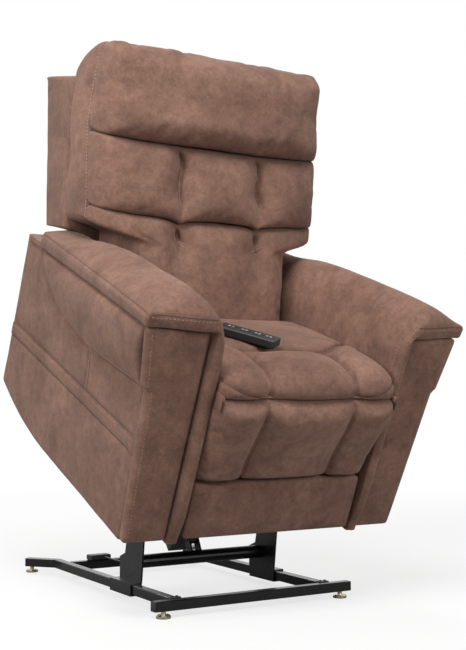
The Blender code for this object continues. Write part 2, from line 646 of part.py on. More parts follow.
# ---- seat box --------------------------------------------------------------------------------
def make_seat_box():
    hinge_inner, hinge_outer = BOX_OUTER_X - 0.0035, BOX_OUTER_X - 0.0005
    bolt_hole = DRIVE_PIN_RADIUS + GAP
    ear_radius = 0.007
    for label, side in SIDES:
        low, high = span(side, BOX_INNER_X, BOX_OUTER_X)
        top = DECK_TOP_Z - DECK_THICK - GAP
        outline = ([(BOX_FRONT_Y, BOX_BOTTOM_Z), (0.45, BOX_BOTTOM_Z),
                    (BOX_REAR_Y, BOX_REAR_BOTTOM_Z), (BOX_REAR_Y, top)]
                   + arc(BACK_PIVOT, 0.030, 0, 180)
                   + [(BACK_PIVOT.x - 0.070, top), (BOX_FRONT_Y, top)])
        board = plate("seat_box_side_" + label, outline, low, high,
                      [circle(BACK_PIVOT, PIN_RADIUS + GAP)])
        low, high = span(side, hinge_inner, hinge_outer)
        ear = ([(BOX_FRONT_Y + 0.03, 0.50), (BOX_FRONT_Y + 0.03, LEG_PIVOT.y)]
               + arc(LEG_PIVOT, ear_radius, 90, 250, 6))
        ear = plate("ear", ear, low, high, [circle(LEG_PIVOT, bolt_hole)])
        stud = rod("stud", (side * (BOX_INNER_X + 0.005), *CHAIR_GUIDE_PIVOT),
                   (side * GUIDE_INNER_X, *CHAIR_GUIDE_PIVOT), PIN_RADIUS)
        place(combine(board, [ear, stud]), chair, "frame_black")
        low, high = span(side, HANGER_INNER_X, HANGER_INNER_X + HANGER_PLATE)
        hanger = [(CHAIR_PIVOT.x - 0.05, top), (CHAIR_PIVOT.x - 0.022, CHAIR_PIVOT.y)]
        hanger += arc(CHAIR_PIVOT, 0.022, 190, 350) + [(CHAIR_PIVOT.x + 0.05, top)]
        hanger = plate("seat_hanger_" + label, hanger, low, high)
        pin = rod("pin", (side * (HANGER_INNER_X + HANGER_PLATE / 2), *CHAIR_PIVOT),
                  (side * (ARM_INNER_X + ARM_PLATE), *CHAIR_PIVOT), PIN_RADIUS)
        place(combine(hanger, [pin]), chair, "frame_black")
    half = BOX_INNER_X - GAP
    front = box("frame_front_tube", (-half, BOX_FRONT_Y + 0.015, 0.330),
                (half, BOX_FRONT_Y + 0.040, 0.355), 0.002)
    place(front, chair, "frame_black")
    rear = box("frame_rear_tube", (-half, HEAD_PIVOT.x + 0.030, 0.335),
               (half, HEAD_PIVOT.x + 0.055, 0.360), 0.002)
    ears = []
    for side in (-1, 1):
        low, high = span(side, CLEVIS_INNER, CLEVIS_INNER + CLEVIS_PLATE)
        reach = link_outline(HEAD_PIVOT, (HEAD_PIVOT.x + 0.040, 0.3475), 0.022)
        ears.append(plate("ear", reach, low, high))
    outer = CLEVIS_INNER + CLEVIS_PLATE + 0.002
    pin = rod("head_pin", (-outer, *HEAD_PIVOT), (outer, *HEAD_PIVOT), PIN_RADIUS)
    place(combine(rear, [*ears, pin]), chair, "frame_black")
    deck = box("seat_deck", (-BOX_OUTER_X + 0.002, DECK_FRONT_Y, DECK_TOP_Z - DECK_THICK),
               (BOX_OUTER_X - 0.002, DECK_REAR_Y, DECK_TOP_Z), 0.002)
    place(deck, chair, "plywood")
    panel_y = BOX_REAR_Y + GAP
    panel = box("rear_panel", (-ARM_LEAF_X, panel_y, BOX_REAR_BOTTOM_Z - 0.008),
                (ARM_LEAF_X, panel_y + REAR_PANEL_THICK, REAR_PANEL_TOP_Z), 0.004)
    place(panel, chair, "upholstery")


# ---- arms ------------------------------------------------------------------------------------
def arm_front(z):
    """y of the arm's front face at height z."""
    return ARM_FRONT_Y - ARM_FRONT_LEAN * (z - 0.297)


def arm_bottom(y):
    return CHAIR_BOTTOM + 0.37 * max(0.0, y - 0.30) ** 2


def arm_rear(z):
    return 0.765 - 0.10 * (z - 0.36)


def cap_share(y):
    """0 at the front of the arm cap and 1 at its rear end."""
    return (y - arm_front(CAP_EDGE_TOP_Z)) / (ARM_CAP_REAR_Y - arm_front(CAP_EDGE_TOP_Z))


def cap_low(y):
    """Underside of the arm cap's outer edge."""
    return CAP_EDGE_LOW_Z - 0.030 * min(max(cap_share(y), 0.0), 1.0)


def cap_out(y):
    return CAP_OUTER_X - 0.055 * min(max(cap_share(y), 0.0), 1.0) ** 0.8


def make_arm(label, side):
    front_y, rear_y = arm_front(0.6), arm_rear(0.6)
    step_y = ARM_CAP_REAR_Y + 0.026      # the side rises behind the cap's rear end
    step_v = 2 * (step_y - front_y) / (rear_y - front_y) - 1

    def side_shape(u, v, w):
        up = (w + 1) / 2
        rear = (v + 1) / 2
        middle = mix(front_y, rear_y, rear)
        under_cap = cap_low(middle) - 0.002 - GAP
        top = under_cap if v < step_v else ARM_REAR_TOP_Z
        z = mix(arm_bottom(middle), top, up)
        y = mix(arm_front(z) + ARM_FRONT_THICK + 2 * GAP, arm_rear(z), rear)
        flare = (ARM_FLARE_X - ARM_OUTER_X) * ease((z - 0.60) / 0.26) * ease(1 - rear * 1.15)
        x = ARM_LEAF_X + GAP if u < 0 else ARM_OUTER_X + flare
        return side * x, y, z

    cuts = ((), [-0.7, -0.4, -0.1, 0.2, 0.45, step_v - 0.004, step_v + 0.004],
            [-0.3, 0.1, 0.35, 0.6, 0.85])
    body = pad("arm_side_" + label, cuts, side_shape, 0)
    place(bevel(smooth(body), 0.008, 1, 60.0), chair, "upholstery")

    def front_matrix():
        lean = Vector((0.0, -ARM_FRONT_LEAN, 1.0)).normalized()
        normal = Vector((0.0, 1.0, ARM_FRONT_LEAN)).normalized()
        columns = (Vector((side, 0, 0)), lean, normal)
        turn = Matrix(columns).transposed().to_4x4()
        return Matrix.Translation((0.0, arm_front(0.0), 0.0)) @ turn

    top = CAP_EDGE_LOW_Z - 0.0025
    low = CHAIR_BOTTOM + 0.011
    edge = [(-0.0075, low), (0.0015, low + 0.009), (0.0205, ARM_NOTCH_Z - 0.008),
            (0.0325, ARM_NOTCH_Z + 0.008), (0.0355, ARM_NOTCH_Z + 0.027)]
    outline = ([(ARM_LEAF_X + GAP, low)] + [(ARM_OUTER_X + out, z) for out, z in edge]
               + [(CAP_OUTER_X - 0.010, top), (ARM_LEAF_X + GAP, top)])
    panel = plate("arm_front_panel_" + label, outline, 0.001, ARM_FRONT_THICK, (), front_matrix())
    place(bevel(panel, 0.005), chair, "upholstery")
    make_arm_pad(label, side)


def arm_pad_section(y, inset=0.0):
    """The arm pad's section at y as (x, z): an inner leaf with a crowned cap over the arm."""
    inner = BOX_OUTER_X + GAP + inset
    share = min(max(cap_share(y), 0.0), 1.0)
    out, low = cap_out(y) - inset, cap_low(y)
    edge_top = CAP_EDGE_TOP_Z - 0.018 * share - inset
    rise = 1 - math.exp(-(y - arm_front(CAP_EDGE_TOP_Z)) / 0.045)
    fall = ease((y - 0.12) / 0.40)
    crown = edge_top + (CAP_CROWN_Z - CAP_EDGE_TOP_Z) * rise - 0.055 * fall
    bottom = arm_bottom(y) + 0.008 + inset
    leaf = CAP_EDGE_LOW_Z
    section = [(inner, bottom), (inner, leaf - 0.263), (inner, leaf - 0.103),
               (inner + 0.001, leaf - 0.023)]
    for share_x, share_z in ((0.03, 0.52), (0.10, 0.76), (0.22, 0.93), (0.40, 1.0), (0.60, 0.95),
                             (0.80, 0.72), (0.93, 0.38)):
        base_z = leaf + 0.007 - 0.018 * share
        section.append((mix(inner, out, share_x), mix(base_z, crown, share_z)))
    section += [(out - 0.002, mix(low, edge_top, 0.80)), (out, mix(low, edge_top, 0.5)),
                (out - 0.003, low + 0.004), (out - 0.010, low)]
    return section + [(ARM_LEAF_X + 0.02, low), (ARM_LEAF_X - inset, low),
                      (ARM_LEAF_X - inset, bottom)]


def make_arm_pad(label, side):
    rings = []
    front = arm_front(CAP_EDGE_TOP_Z)
    stations = [front, front + 0.004, front + 0.018, -0.215, -0.15, -0.05, 0.06, 0.18, 0.30, 0.41,
                0.50, 0.56, ARM_CAP_REAR_Y - 0.006, ARM_CAP_REAR_Y]
    last = len(stations) - 1
    for i, y in enumerate(stations):
        inset = 0.006 if i in (0, last) else 0.0
        ring = []
        for x, z in arm_pad_section(y, inset):
            # the front rings lean with the arm's front face; the rear ones stand upright
            lean = (arm_front(z) - front) * ease((0.10 - y) / 0.35)
            ring.append((side * x, y + lean, z))
        rings.append(ring)
    place(loft("arm_pad_" + label, rings), chair, "upholstery")


# ---- seat and leg rest -----------------------------------------------------------------------
SEAM_U = SEAM_X / SEAT_HALF
SEAT_X_CUTS = [-0.86, -SEAM_U - 0.13, -SEAM_U, -SEAM_U + 0.13, 0, SEAM_U - 0.13, SEAM_U,
               SEAM_U + 0.13, 0.86]
SEAT_CROSS_Y = -0.165                 # the seam behind the front roll


def seat_top(x, y):
    """Height of the seat's crowned top."""
    crown = SEAT_CROWN_Z - 0.036 * (x / SEAT_HALF) ** 4
    crown -= 0.034 * ease((y - SEAT_CROSS_Y) / (SEAT_REAR_Y - SEAT_CROSS_Y))
    front = min(max((y - SEAT_FRONT_Y) / 0.115, 0.0), 1.0)
    roll = math.sqrt(max(0.0, 1 - (1 - front) ** 2))
    crown = SEAT_LIP_Z + 0.010 + (crown - SEAT_LIP_Z - 0.010) * roll
    seam = 0.010 * dip(y - SEAT_CROSS_Y, 0.020)
    for line in (-SEAM_X, SEAM_X):
        seam = max(seam, 0.012 * dip(x - line, 0.014) * ease((SEAT_CROSS_Y + 0.03 - y) / 0.03))
    return crown - seam


def make_seat():
    cuts_y = [-0.97, -0.86, -0.66, -0.56, -0.46, -0.12, 0.45, 0.92]

    def shape(u, v, w):
        x = u * SEAT_HALF
        y = mix(SEAT_FRONT_Y, SEAT_REAR_Y, (v + 1) / 2)
        bottom = SEAT_LIP_Z if y < DECK_FRONT_Y - 0.045 else DECK_TOP_Z + GAP
        top = seat_top(x, y)
        z = mix(bottom, top, (w + 1) / 2)
        if abs(w) < 1:
            x *= 1.0 if abs(u) < 1 else 0.995
        return x, y, z

    place(pad("seat_cushion", (SEAT_X_CUTS, cuts_y, [0.3]), shape), chair, "upholstery")


def make_leg_rest():
    def bulge(x, low, high, z, depth):
        """How far the pad's front stands out between its seams."""
        height = 1 - abs(2 * (z - low) / (high - low) - 1) ** 2.5
        seam = sum(dip(x - line, 0.016) for line in (-SEAM_X, SEAM_X))
        edge = (abs(x) / LEG_HALF) ** 8
        return depth * (height * (1 - 0.9 * seam) * (1 - edge))

    def pad_shape(u, v, w):
        x = u * LEG_HALF
        z = mix(LEG_PAD_LOW_Z, LEG_PAD_TOP_Z, (w + 1) / 2)
        rear = LEG_BOARD_FRONT_Y - GAP
        line = mix(-0.252, -0.299, (w + 1) / 2)
        front = line - bulge(x, LEG_PAD_LOW_Z, LEG_PAD_TOP_Z, z, 0.017)
        return x, mix(front, rear, (v + 1) / 2), z

    seam = SEAM_X / LEG_HALF
    cuts_x = [-0.86, -seam - 0.12, -seam, -seam + 0.12, 0, seam - 0.12, seam, seam + 0.12, 0.86]
    soft = pad("leg_rest_pad", (cuts_x, [-0.4], [-0.86, 0, 0.86]), pad_shape)
    place(soft, leg_rest, "upholstery")

    def panel_shape(u, v, w):
        x = u * LEG_HALF
        z = mix(FOOT_PANEL_LOW_Z, FOOT_PANEL_TOP_Z, (w + 1) / 2)
        swell = 0.006 * (1 - w * w) * (1 - u ** 6)
        front = mix(-0.240, -0.247, (w + 1) / 2) - swell
        return x, mix(front, LEG_BOARD_FRONT_Y - GAP, (v + 1) / 2), z

    panel = pad("foot_panel", ([-0.93, 0.93], [-0.6], [-0.85, 0.85]), panel_shape)
    place(panel, leg_rest, "upholstery")
    rear = LEG_BOARD_FRONT_Y + LEG_BOARD_THICK
    board = box("leg_rest_board", (-LEG_HALF + 0.012, LEG_BOARD_FRONT_Y, FOOT_PANEL_LOW_Z + 0.02),
                (LEG_HALF - 0.012, rear, LEG_PAD_TOP_Z - 0.012))
    pin_at = leg_crank_pin()
    crank = [(rear - 0.004, pin_at.y - 0.03), (rear - 0.004, pin_at.y + 0.03)]
    crank += arc(pin_at, 0.010, 60, -60)
    x1 = -DRIVE_X - DRIVE_RAM_RADIUS - 0.001
    x0 = x1 - 0.005
    crank = plate("crank", crank, x0, x1)
    pin = rod("pin", (x1 - 0.002, *pin_at), (-DRIVE_X + YOKE_HALF + 0.003, *pin_at),
              DRIVE_PIN_RADIUS)
    place(combine(board, [crank, pin]), leg_rest, "plywood")
    for label, side in SIDES:
        low, high = span(side, LEG_HALF + 0.0004, LEG_HALF + 0.0034)
        outline = [(rear, LEG_PIVOT.y - 0.16), (rear, LEG_PIVOT.y - 0.07)]
        outline += arc(LEG_PIVOT, 0.007, 40, 220, 6) + [(LEG_BOARD_FRONT_Y - 0.02, 0.60)]
        outline += [(LEG_BOARD_FRONT_Y, LEG_PIVOT.y - 0.16)]
        hinge = plate("leg_hinge_" + label, outline, low, high)
        step_low, step_high = span(side, LEG_HALF - 0.0117, LEG_HALF + 0.001)
        tab = box("tab", (step_low, rear - 0.011, LEG_PIVOT.y - 0.155),
                  (step_high, rear - 0.001, LEG_PIVOT.y - 0.075))
        bolt = rod("bolt", (side * (LEG_HALF + 0.002), *LEG_PIVOT),
                   (side * (BOX_OUTER_X - 0.0005), *LEG_PIVOT), DRIVE_PIN_RADIUS)
        place(combine(hinge, [tab, bolt]), leg_rest, "frame_black")


# ---- drives ----------------------------------------------------------------------------------
def leg_crank_pin():
    """The crank swings as far behind its hinge as it does ahead of it."""
    half = LEG_RANGE / 2
    return Vector((LEG_PIVOT.x + LEG_CRANK * math.sin(half),
                   LEG_PIVOT.y - LEG_CRANK * math.cos(half)))


def back_crank_pin():
    half = BACK_RANGE / 2
    return Vector((BACK_PIVOT.x + BACK_CRANK * math.sin(half),
                   BACK_PIVOT.y - BACK_CRANK * math.cos(half)))


def drive_body(name, x, z, y_gear, y_tube_end, y_motor_end):
    """A gearbox under the deck, its motor behind it and the tube that the ram slides in."""
    ceiling = DECK_TOP_Z - DECK_THICK - GAP
    step = 0.045 if y_gear > y_tube_end else -0.045
    ends = sorted((y_gear, y_gear + step))
    gear = box(name, (x - 0.026, ends[0], z - 0.024), (x + 0.026, ends[1], ceiling))
    start = y_gear + step * 0.9
    motor = rod("motor", (x, start, z), (x, y_motor_end, z), DRIVE_MOTOR_RADIUS)
    tube = rod("tube", (x, y_gear + step * 0.1, z), (x, y_tube_end, z), DRIVE_TUBE_RADIUS)
    whole = combine(gear, [motor, tube])
    bore = rod("bore", (x, y_gear + step * 0.3, z), (x, y_tube_end - step, z),
               DRIVE_RAM_RADIUS + GAP)
    place(smooth(combine(whole, [bore], "DIFFERENCE")), chair, "motor_black")


def make_drives():
    # recline: the ram pulls the crank under the backrest's hinge forward
    pin_at = back_crank_pin()
    z = BACK_PIVOT.y - BACK_CRANK * (1 + math.cos(BACK_RANGE / 2)) / 2
    drive_body("recline_motor", DRIVE_X, z, BACK_GEAR_Y, BACK_TUBE_END_Y, BACK_MOTOR_END_Y)
    x0, x1 = DRIVE_X - YOKE_HALF, DRIVE_X + YOKE_HALF
    eye_hole = DRIVE_PIN_RADIUS + 0.0032
    eye = plate("recline_ram", circle((pin_at.x, z), eye_hole + 0.005), x0, x1,
                [circle((pin_at.x, z), eye_hole)])
    shaft_end = pin_at.x - eye_hole - 0.002
    shaft = rod("shaft", (DRIVE_X, BACK_RAM_END_Y, z), (DRIVE_X, shaft_end, z), DRIVE_RAM_RADIUS)
    place(combine(eye, [shaft]), back_drive, "steel")
    crank_low = DRIVE_X + DRIVE_RAM_RADIUS + 0.001
    crank_high = crank_low + 0.005
    outline = [(BACK_PIVOT.x - 0.020, BACK_BOTTOM_Z + 0.004)]
    outline += arc(pin_at, 0.010, 190, 350) + [(BACK_PIVOT.x + 0.040, BACK_BOTTOM_Z + 0.004)]
    crank = plate("back_crank", outline, crank_low, crank_high)
    pad_foot = box("foot", (DRIVE_X - 0.03, BACK_PIVOT.x - 0.030, BACK_BOTTOM_Z + 0.0005),
                   (DRIVE_X + 0.03, BACK_PIVOT.x + 0.050, BACK_BOTTOM_Z + 0.0045))
    pin = rod("pin", (x0 - 0.003, *pin_at), (crank_low + 0.002, *pin_at), DRIVE_PIN_RADIUS)
    place(combine(pad_foot, [crank, pin]), backrest, "frame_black")
    bpy.data.objects["foot"].name = "back_crank"

    # leg rest: a plate on the ram pushes the crank pin forward, which slides down it and up again
    pin_at = leg_crank_pin()
    deepest = LEG_PIVOT.y - LEG_CRANK
    z = (pin_at.y + deepest) / 2
    drive_body("leg_rest_motor", -DRIVE_X, z, LEG_GEAR_Y, LEG_TUBE_END_Y, LEG_MOTOR_END_Y)
    x0, x1 = -DRIVE_X - YOKE_HALF, -DRIVE_X + YOKE_HALF
    plate_y = pin_at.x + DRIVE_PIN_RADIUS + PUSHER_PLAY + PUSHER / 2
    ends = ((plate_y, deepest - PUSHER / 2), (plate_y, pin_at.y + 0.001))
    yoke = plate("leg_rest_ram", link_outline(*ends, PUSHER), x0, x1)
    shaft = rod("shaft", (-DRIVE_X, plate_y, z), (-DRIVE_X, LEG_RAM_END_Y, z), DRIVE_RAM_RADIUS)
    place(combine(yoke, [shaft]), leg_drive, "steel")


# ---- backrest --------------------------------------------------------------------------------
def back_rear(z):
    """y of the cushions' rear plane."""
    return BACK_REAR_Y + REAR_LEAN * (z - BACK_REAR_Z)


def back_front(z):
    """y of the cushions' front at their side seams."""
    return BACK_FRONT_Y + BACK_LEAN * (z - BACK_FRONT_Z)


def wing_bottom(y):
    """Underside of the part of the back that is wider than the seat."""
    return WING_FRONT_Z - WING_SLOPE * (y - WING_FRONT_Y)


def cushion_half(z, y):
    """Half width of the back: narrow between the arms and wide above them."""
    above = ease((z - wing_bottom(y)) / 0.035)
    taper = 0.020 * ease((z - MIDDLE_TOP_Z) / (HEAD_TOP_Z - MIDDLE_TOP_Z))
    return mix(BACK_NARROW, BACK_WIDE - taper, above)


def back_section(name, low, high, depth, tufted, cuts_w, head=False):
    """One of the back's stacked cushions, bulging between its seams. A tufted one has two
    columns of stitching, which stay at BACK_SEAM_X where the cushion narrows."""
    def shape(u, v, w):
        z = mix(low, high, (w + 1) / 2)
        rear = (v + 1) / 2
        half = cushion_half(z, mix(back_front(z), back_rear(z), rear))
        inner = min(abs(u) / BACK_SEAM_U, 1.0)
        outer = max(abs(u) - BACK_SEAM_U, 0.0) / (1 - BACK_SEAM_U)
        x = math.copysign(BACK_SEAM_X * inner + (half - BACK_SEAM_X) * outer, u)
        rise = 1 - abs(w) ** 2.6
        seam = dip(abs(x) - BACK_SEAM_X, 0.022) if tufted else 0.0
        edge = abs(u) ** 6
        front = back_front(z) - depth * (0.42 + 0.58 * rise * (1 - 0.75 * seam)) * (1 - edge)
        if head:
            drop = (max(w + 0.6, 0.0) / 1.6) ** 1.4
            front += 0.030 * ease((w - 0.5) / 0.5)
            z -= (0.030 * abs(u) ** 5 + HEAD_TOP_DROP * rear ** 1.5) * drop
        return x, mix(front, back_rear(z) - GAP, rear), z

    half_cuts = (0.90, 0.64, BACK_SEAM_U + 0.08, BACK_SEAM_U, BACK_SEAM_U - 0.08)
    if not tufted:
        half_cuts = (0.90, 0.50)
    cuts_x = sorted([-c for c in half_cuts] + [*half_cuts, 0.0])
    made = pad(name, (cuts_x, [-0.45], cuts_w), shape)
    return place(made, backrest, "upholstery")


def make_backrest():
    step = 0.0035                     # between the stacked cushions
    low_share = (WING_FRONT_Z - BACK_BOTTOM_Z) / (LOWER_TOP_Z - BACK_BOTTOM_Z) * 2 - 1
    cuts = [-0.88, -0.25, low_share - 0.26, low_share - 0.02, low_share + 0.14, 0.90]
    back_section("back_cushion_lower", BACK_BOTTOM_Z + 0.012, LOWER_TOP_Z, 0.085, True, cuts)
    back_section("back_cushion_middle", LOWER_TOP_Z + step, MIDDLE_TOP_Z, 0.085, True,
                 [-0.86, 0, 0.86])
    back_section("head_cushion", MIDDLE_TOP_Z + step, HEAD_TOP_Z, 0.070, False,
                 [-0.90, 0, 0.55, 0.88], head=True)

    def shell_shape(u, v, w):
        up = (w + 1) / 2
        z = mix(BACK_BOTTOM_Z + 0.005, SHELL_TOP_FRONT_Z, up)
        if z < SHELL_WING_Z:
            rise = (z - BACK_BOTTOM_Z) / (SHELL_WING_Z - BACK_BOTTOM_Z)
            rear = mix(SHELL_LOW_Y, SHELL_REAR_Y, rise)
            half = BOX_INNER_X - 0.0012 if z < SHELL_HIP_Z else BACK_NARROW - 0.001
        else:
            rear = SHELL_REAR_Y + SHELL_LEAN * (z - SHELL_WING_Z - 0.002)
            half = BACK_WIDE - 0.006
        # the wings' underside falls to the rear
        lift = (wing_bottom(0.60) - SHELL_WING_Z + 0.005) * (1 - v) / 2
        z += lift * ease((SHELL_WING_Z + 0.083 - z) / 0.08) * ease((z - SHELL_HIP_Z) / 0.12)
        z -= (SHELL_TOP_FRONT_Z - SHELL_TOP_REAR_Z) * ease((w - 0.9) / 0.1) * (v + 1) / 2
        return u * half, mix(back_rear(z) + 0.0005, rear, (v + 1) / 2), z

    def height(z):
        return 2 * (z - BACK_BOTTOM_Z - 0.005) / (SHELL_TOP_FRONT_Z - BACK_BOTTOM_Z - 0.005) - 1

    steps = (SHELL_HIP_Z - 0.0005, SHELL_HIP_Z + 0.0005, SHELL_WING_Z - 0.0005,
             SHELL_WING_Z + 0.0005, SHELL_WING_Z + 0.133, SHELL_WING_Z + 0.283)
    cuts = [height(z) for z in steps]
    shell = pad("back_shell", ((), (), cuts), shell_shape, 0)
    place(bevel(smooth(shell), 0.008, 2, 50.0), backrest, "upholstery")
    for label, side in SIDES:
        inner = BOX_INNER_X - 0.0012 + GAP
        length = BOX_OUTER_X - inner - 0.002
        profile = [(0.0, length), (PIN_RADIUS, length), (PIN_RADIUS, 0.0), (0.0, 0.0)]
        bolt = turned("back_hinge_bolt_" + label, profile, (side * inner, *BACK_PIVOT),
                      (side, 0, 0))
        place(bolt, backrest, "steel")


# ---- handset ---------------------------------------------------------------------------------
def make_handset():
    turn = Matrix.Rotation(HANDSET_TURN, 4, "Z")
    home = Matrix.Translation((HANDSET_AT.x, HANDSET_AT.y, HANDSET_Z)) @ turn
    half = HANDSET_SIZE / 2
    top = HANDSET_SIZE.z
    body = box("handset", (-half.x, -half.y, 0.0), (half.x, half.y, top))
    pockets = []
    spots = []
    for across in (-0.050, -0.012, 0.024, 0.055):
        spots.append(Vector((across, 0.0)))
    reach = KEY_SIZE / 2
    for spot in spots:
        low = (spot.x - reach.x - 0.0004, -reach.y - 0.0004, top - 0.004)
        high = (spot.x + reach.x + 0.0004, reach.y + 0.0004, top + 0.01)
        pockets.append(box("pocket", low, high))
    combine(bevel(body, 0.004, 3), pockets, "DIFFERENCE")
    body.data.transform(home)
    place(smooth(body), chair, "handset_black")
    floor_z = top - 0.004 + KEY_TRAVEL + GAP
    for number, spot in enumerate(spots, 1):
        key = box("handset_key_%d" % number, (spot.x - reach.x, -reach.y, floor_z),
                  (spot.x + reach.x, reach.y, floor_z + KEY_SIZE.z), 0.0006)
        key.data.transform(home)
        place(key, handset_keys, "key_grey")


make_base()
make_lift_base()
make_junction()
make_lift_arms()
make_lift_motor()
make_seat_box()
for arm_label, arm_side in SIDES:
    make_arm(arm_label, arm_side)
make_seat()
make_leg_rest()
make_drives()
make_backrest()
make_handset()
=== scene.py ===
"""The looks of a lift recliner chair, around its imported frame.

Most pieces are drawn in the chair's own level frame (x, y, z in metres, the chair faces -y)
and then tilted as the lifted chair stands. The base is drawn in the row frame.
"""

import json
import math

import bmesh
import bpy
import numpy as np
from mathutils import Matrix, Vector, noise
from mathutils.bvhtree import BVHTree


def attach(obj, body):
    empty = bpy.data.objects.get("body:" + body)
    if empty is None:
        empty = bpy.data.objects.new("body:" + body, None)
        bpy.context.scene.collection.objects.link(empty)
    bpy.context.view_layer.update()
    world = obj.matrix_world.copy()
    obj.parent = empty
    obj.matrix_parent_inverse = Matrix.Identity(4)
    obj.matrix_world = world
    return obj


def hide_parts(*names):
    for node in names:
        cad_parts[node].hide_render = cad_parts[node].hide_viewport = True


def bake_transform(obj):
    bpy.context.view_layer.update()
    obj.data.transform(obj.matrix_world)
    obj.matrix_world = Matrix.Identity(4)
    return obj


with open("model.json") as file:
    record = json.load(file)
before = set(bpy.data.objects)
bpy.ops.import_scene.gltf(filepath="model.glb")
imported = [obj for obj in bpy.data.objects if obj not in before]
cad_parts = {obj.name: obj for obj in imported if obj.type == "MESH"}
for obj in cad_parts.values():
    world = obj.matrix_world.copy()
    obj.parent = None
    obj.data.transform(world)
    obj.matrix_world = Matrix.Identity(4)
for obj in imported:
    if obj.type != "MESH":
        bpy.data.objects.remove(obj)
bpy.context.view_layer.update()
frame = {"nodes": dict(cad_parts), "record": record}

# ---- the chair's frame ----
TILT = math.radians(21.39)
SHIFT_Y = -0.0286
CHAIR = Matrix.Translation((0.0, SHIFT_Y, 0.0)) @ Matrix.Rotation(TILT, 4, "X")
GAP = 0.0003

# ---- sizes shared with the frame, in metres ----
SEAT_HALF = 0.2585
SEAT_FRONT_Y, SEAT_REAR_Y = -0.299, 0.222
SEAT_LIP_Z, DECK_TOP_Z = 0.7125, 0.600
CROSS_SEAM_Y = -0.130
SEAM_X = 0.129
LEG_HALF = 0.2535
SEAT_COVER_HALF, LEG_COVER_HALF = 0.2602, 0.2598
LEG_TOP_Z, LEG_LOW_Z = 0.7035, 0.472
FOOT_TOP_Z, FOOT_LOW_Z = 0.463, 0.307
HINGE_Y, HINGE_Z, HINGE_REACH = -0.3005, 0.7045, 0.050
BOARD_Y = -0.2150
LEAF_INNER_X, LEAF_OUTER_X = 0.262, 0.292
SIDE_X, FLARE_X = 0.4075, 0.452
CAP_OUT_X, CAP_REAR_Y = 0.470, 0.585
CAP_TOP_Z, CAP_LOW_Z = 0.900, 0.863
WELT_LOW_Z, WELT_TOP_Z = 0.520, 0.560
SIDE_SEAM_Y = 0.130
BACK_WIDE, BACK_NARROW, BACK_SEAM_X = 0.366, 0.256, 0.125
ROW_LOW_Z, ROW_MID_Z, ROW_TOP_Z, HEAD_TOP_Z = 0.634, 1.004, 1.203, 1.455
WING_Z, WING_Y, WING_SLOPE = 0.937, 0.380, 0.195
SHELL_LOW_Z, SHELL_NOTCH_Z, SHELL_STEP_Z, SHELL_TOP_Z = 0.628, 0.720, 0.870, 1.334
REAR_LOW_Z, REAR_TOP_Z = 0.366, 0.638
TUBE_MID_Z, TUBE_TOP_Z = 0.031, 0.044
TAB_X, TAB_Y = 0.2317, -0.2790
SIDES = (("left", 1.0), ("right", -1.0))


# ---- small helpers ----
def mix(a, b, t):
    return a + (b - a) * t


def unit(t):
    return np.clip(t, 0.0, 1.0)


def ease(t):
    t = unit(t)
    return t * t * (3.0 - 2.0 * t)


def dip(distance, width):
    """1 on a line, falling to 0 beside it."""
    return np.exp(-(distance / width) ** 2)


def most(*parts):
    return np.maximum.reduce(parts)


def chair_points(points):
    """Points in the chair's frame as row-frame points."""
    return np.array(points) @ np.array(CHAIR.to_3x3()).T + np.array(CHAIR.translation)


def circle(centre, across, other, radius, count):
    """Points evenly round a circle in the plane of two directions."""
    angles = [turn * math.tau / count for turn in range(count)]
    return [centre + (across * math.cos(a) + other * math.sin(a)) * radius for a in angles]


def strip(first, count, rings):
    """Quads between the closed rings of points that start at first."""
    return [(a + i, a + (i + 1) % count, a + count + (i + 1) % count, a + count + i)
            for a in range(first, first + count * (rings - 1), count) for i in range(count)]


# ---- closed padded forms ----
SEAM_STEPS = (-0.0045, -0.0022, 0.0, 0.0022, 0.0045)


def marks(half, spacing, seams=()):
    """Grid positions along one axis: evenly spaced, with close ones beside each seam."""
    even = np.linspace(-half, half, max(2, round(2 * half / spacing)) + 1)
    kept = {round(float(m), 6) for m in even
            if abs(m) == half or all(abs(m - s) > spacing * 0.75 for s in seams)}
    for seam in seams:
        kept |= {round(seam + step, 6) for step in SEAM_STEPS}
    return sorted(kept)


def lattice(grid, radius):
    """Points (from -1 to 1 along each axis) and quads of a box with rounded edges."""
    index, points, quads = {}, [], []
    last = [len(line) - 1 for line in grid]

    def corner(key):
        if key not in index:
            index[key] = len(points)
            points.append([grid[axis][key[axis]] for axis in range(3)])
        return index[key]

    for axis in range(3):
        a, b = [other for other in range(3) if other != axis]
        for end in (0, last[axis]):
            for i in range(last[a]):
                for j in range(last[b]):
                    loop = []
                    for di, dj in ((0, 0), (1, 0), (1, 1), (0, 1)):
                        key = [0, 0, 0]
                        key[axis], key[a], key[b] = end, i + di, j + dj
                        loop.append(corner(tuple(key)))
                    quads.append(loop)
    points = np.array(points)
    half = np.array([line[-1] for line in grid])
    inner = np.clip(points, -(half - radius), half - radius)
    out = points - inner
    out /= np.linalg.norm(out, axis=1, keepdims=True)
    return (inner + radius * out) / half, quads


def show(name, data):
    obj = bpy.data.objects.new(name, data)
    bpy.context.scene.collection.objects.link(obj)
    return obj


def mesh_object(name, points, faces):
    mesh = bpy.data.meshes.new(name)
    mesh.from_pydata([tuple(p) for p in points], [], faces)
    bm = bmesh.new()
    bm.from_mesh(mesh)
    bmesh.ops.recalc_face_normals(bm, faces=bm.faces)
    if bm.calc_volume(signed=True) < 0:
        bmesh.ops.reverse_faces(bm, faces=bm.faces)
    bm.to_mesh(mesh)
    bm.free()
    mesh.shade_smooth()
    return show(name, mesh)


def rows_of(data, name):
    """One vector of each element of a mesh as the rows of an array."""
    out = np.zeros(len(data) * 3, np.float32)
    data.foreach_get(name, out)
    return out.reshape(-1, 3).astype(float)


def coords(obj):
    return rows_of(obj.data.vertices, "co")


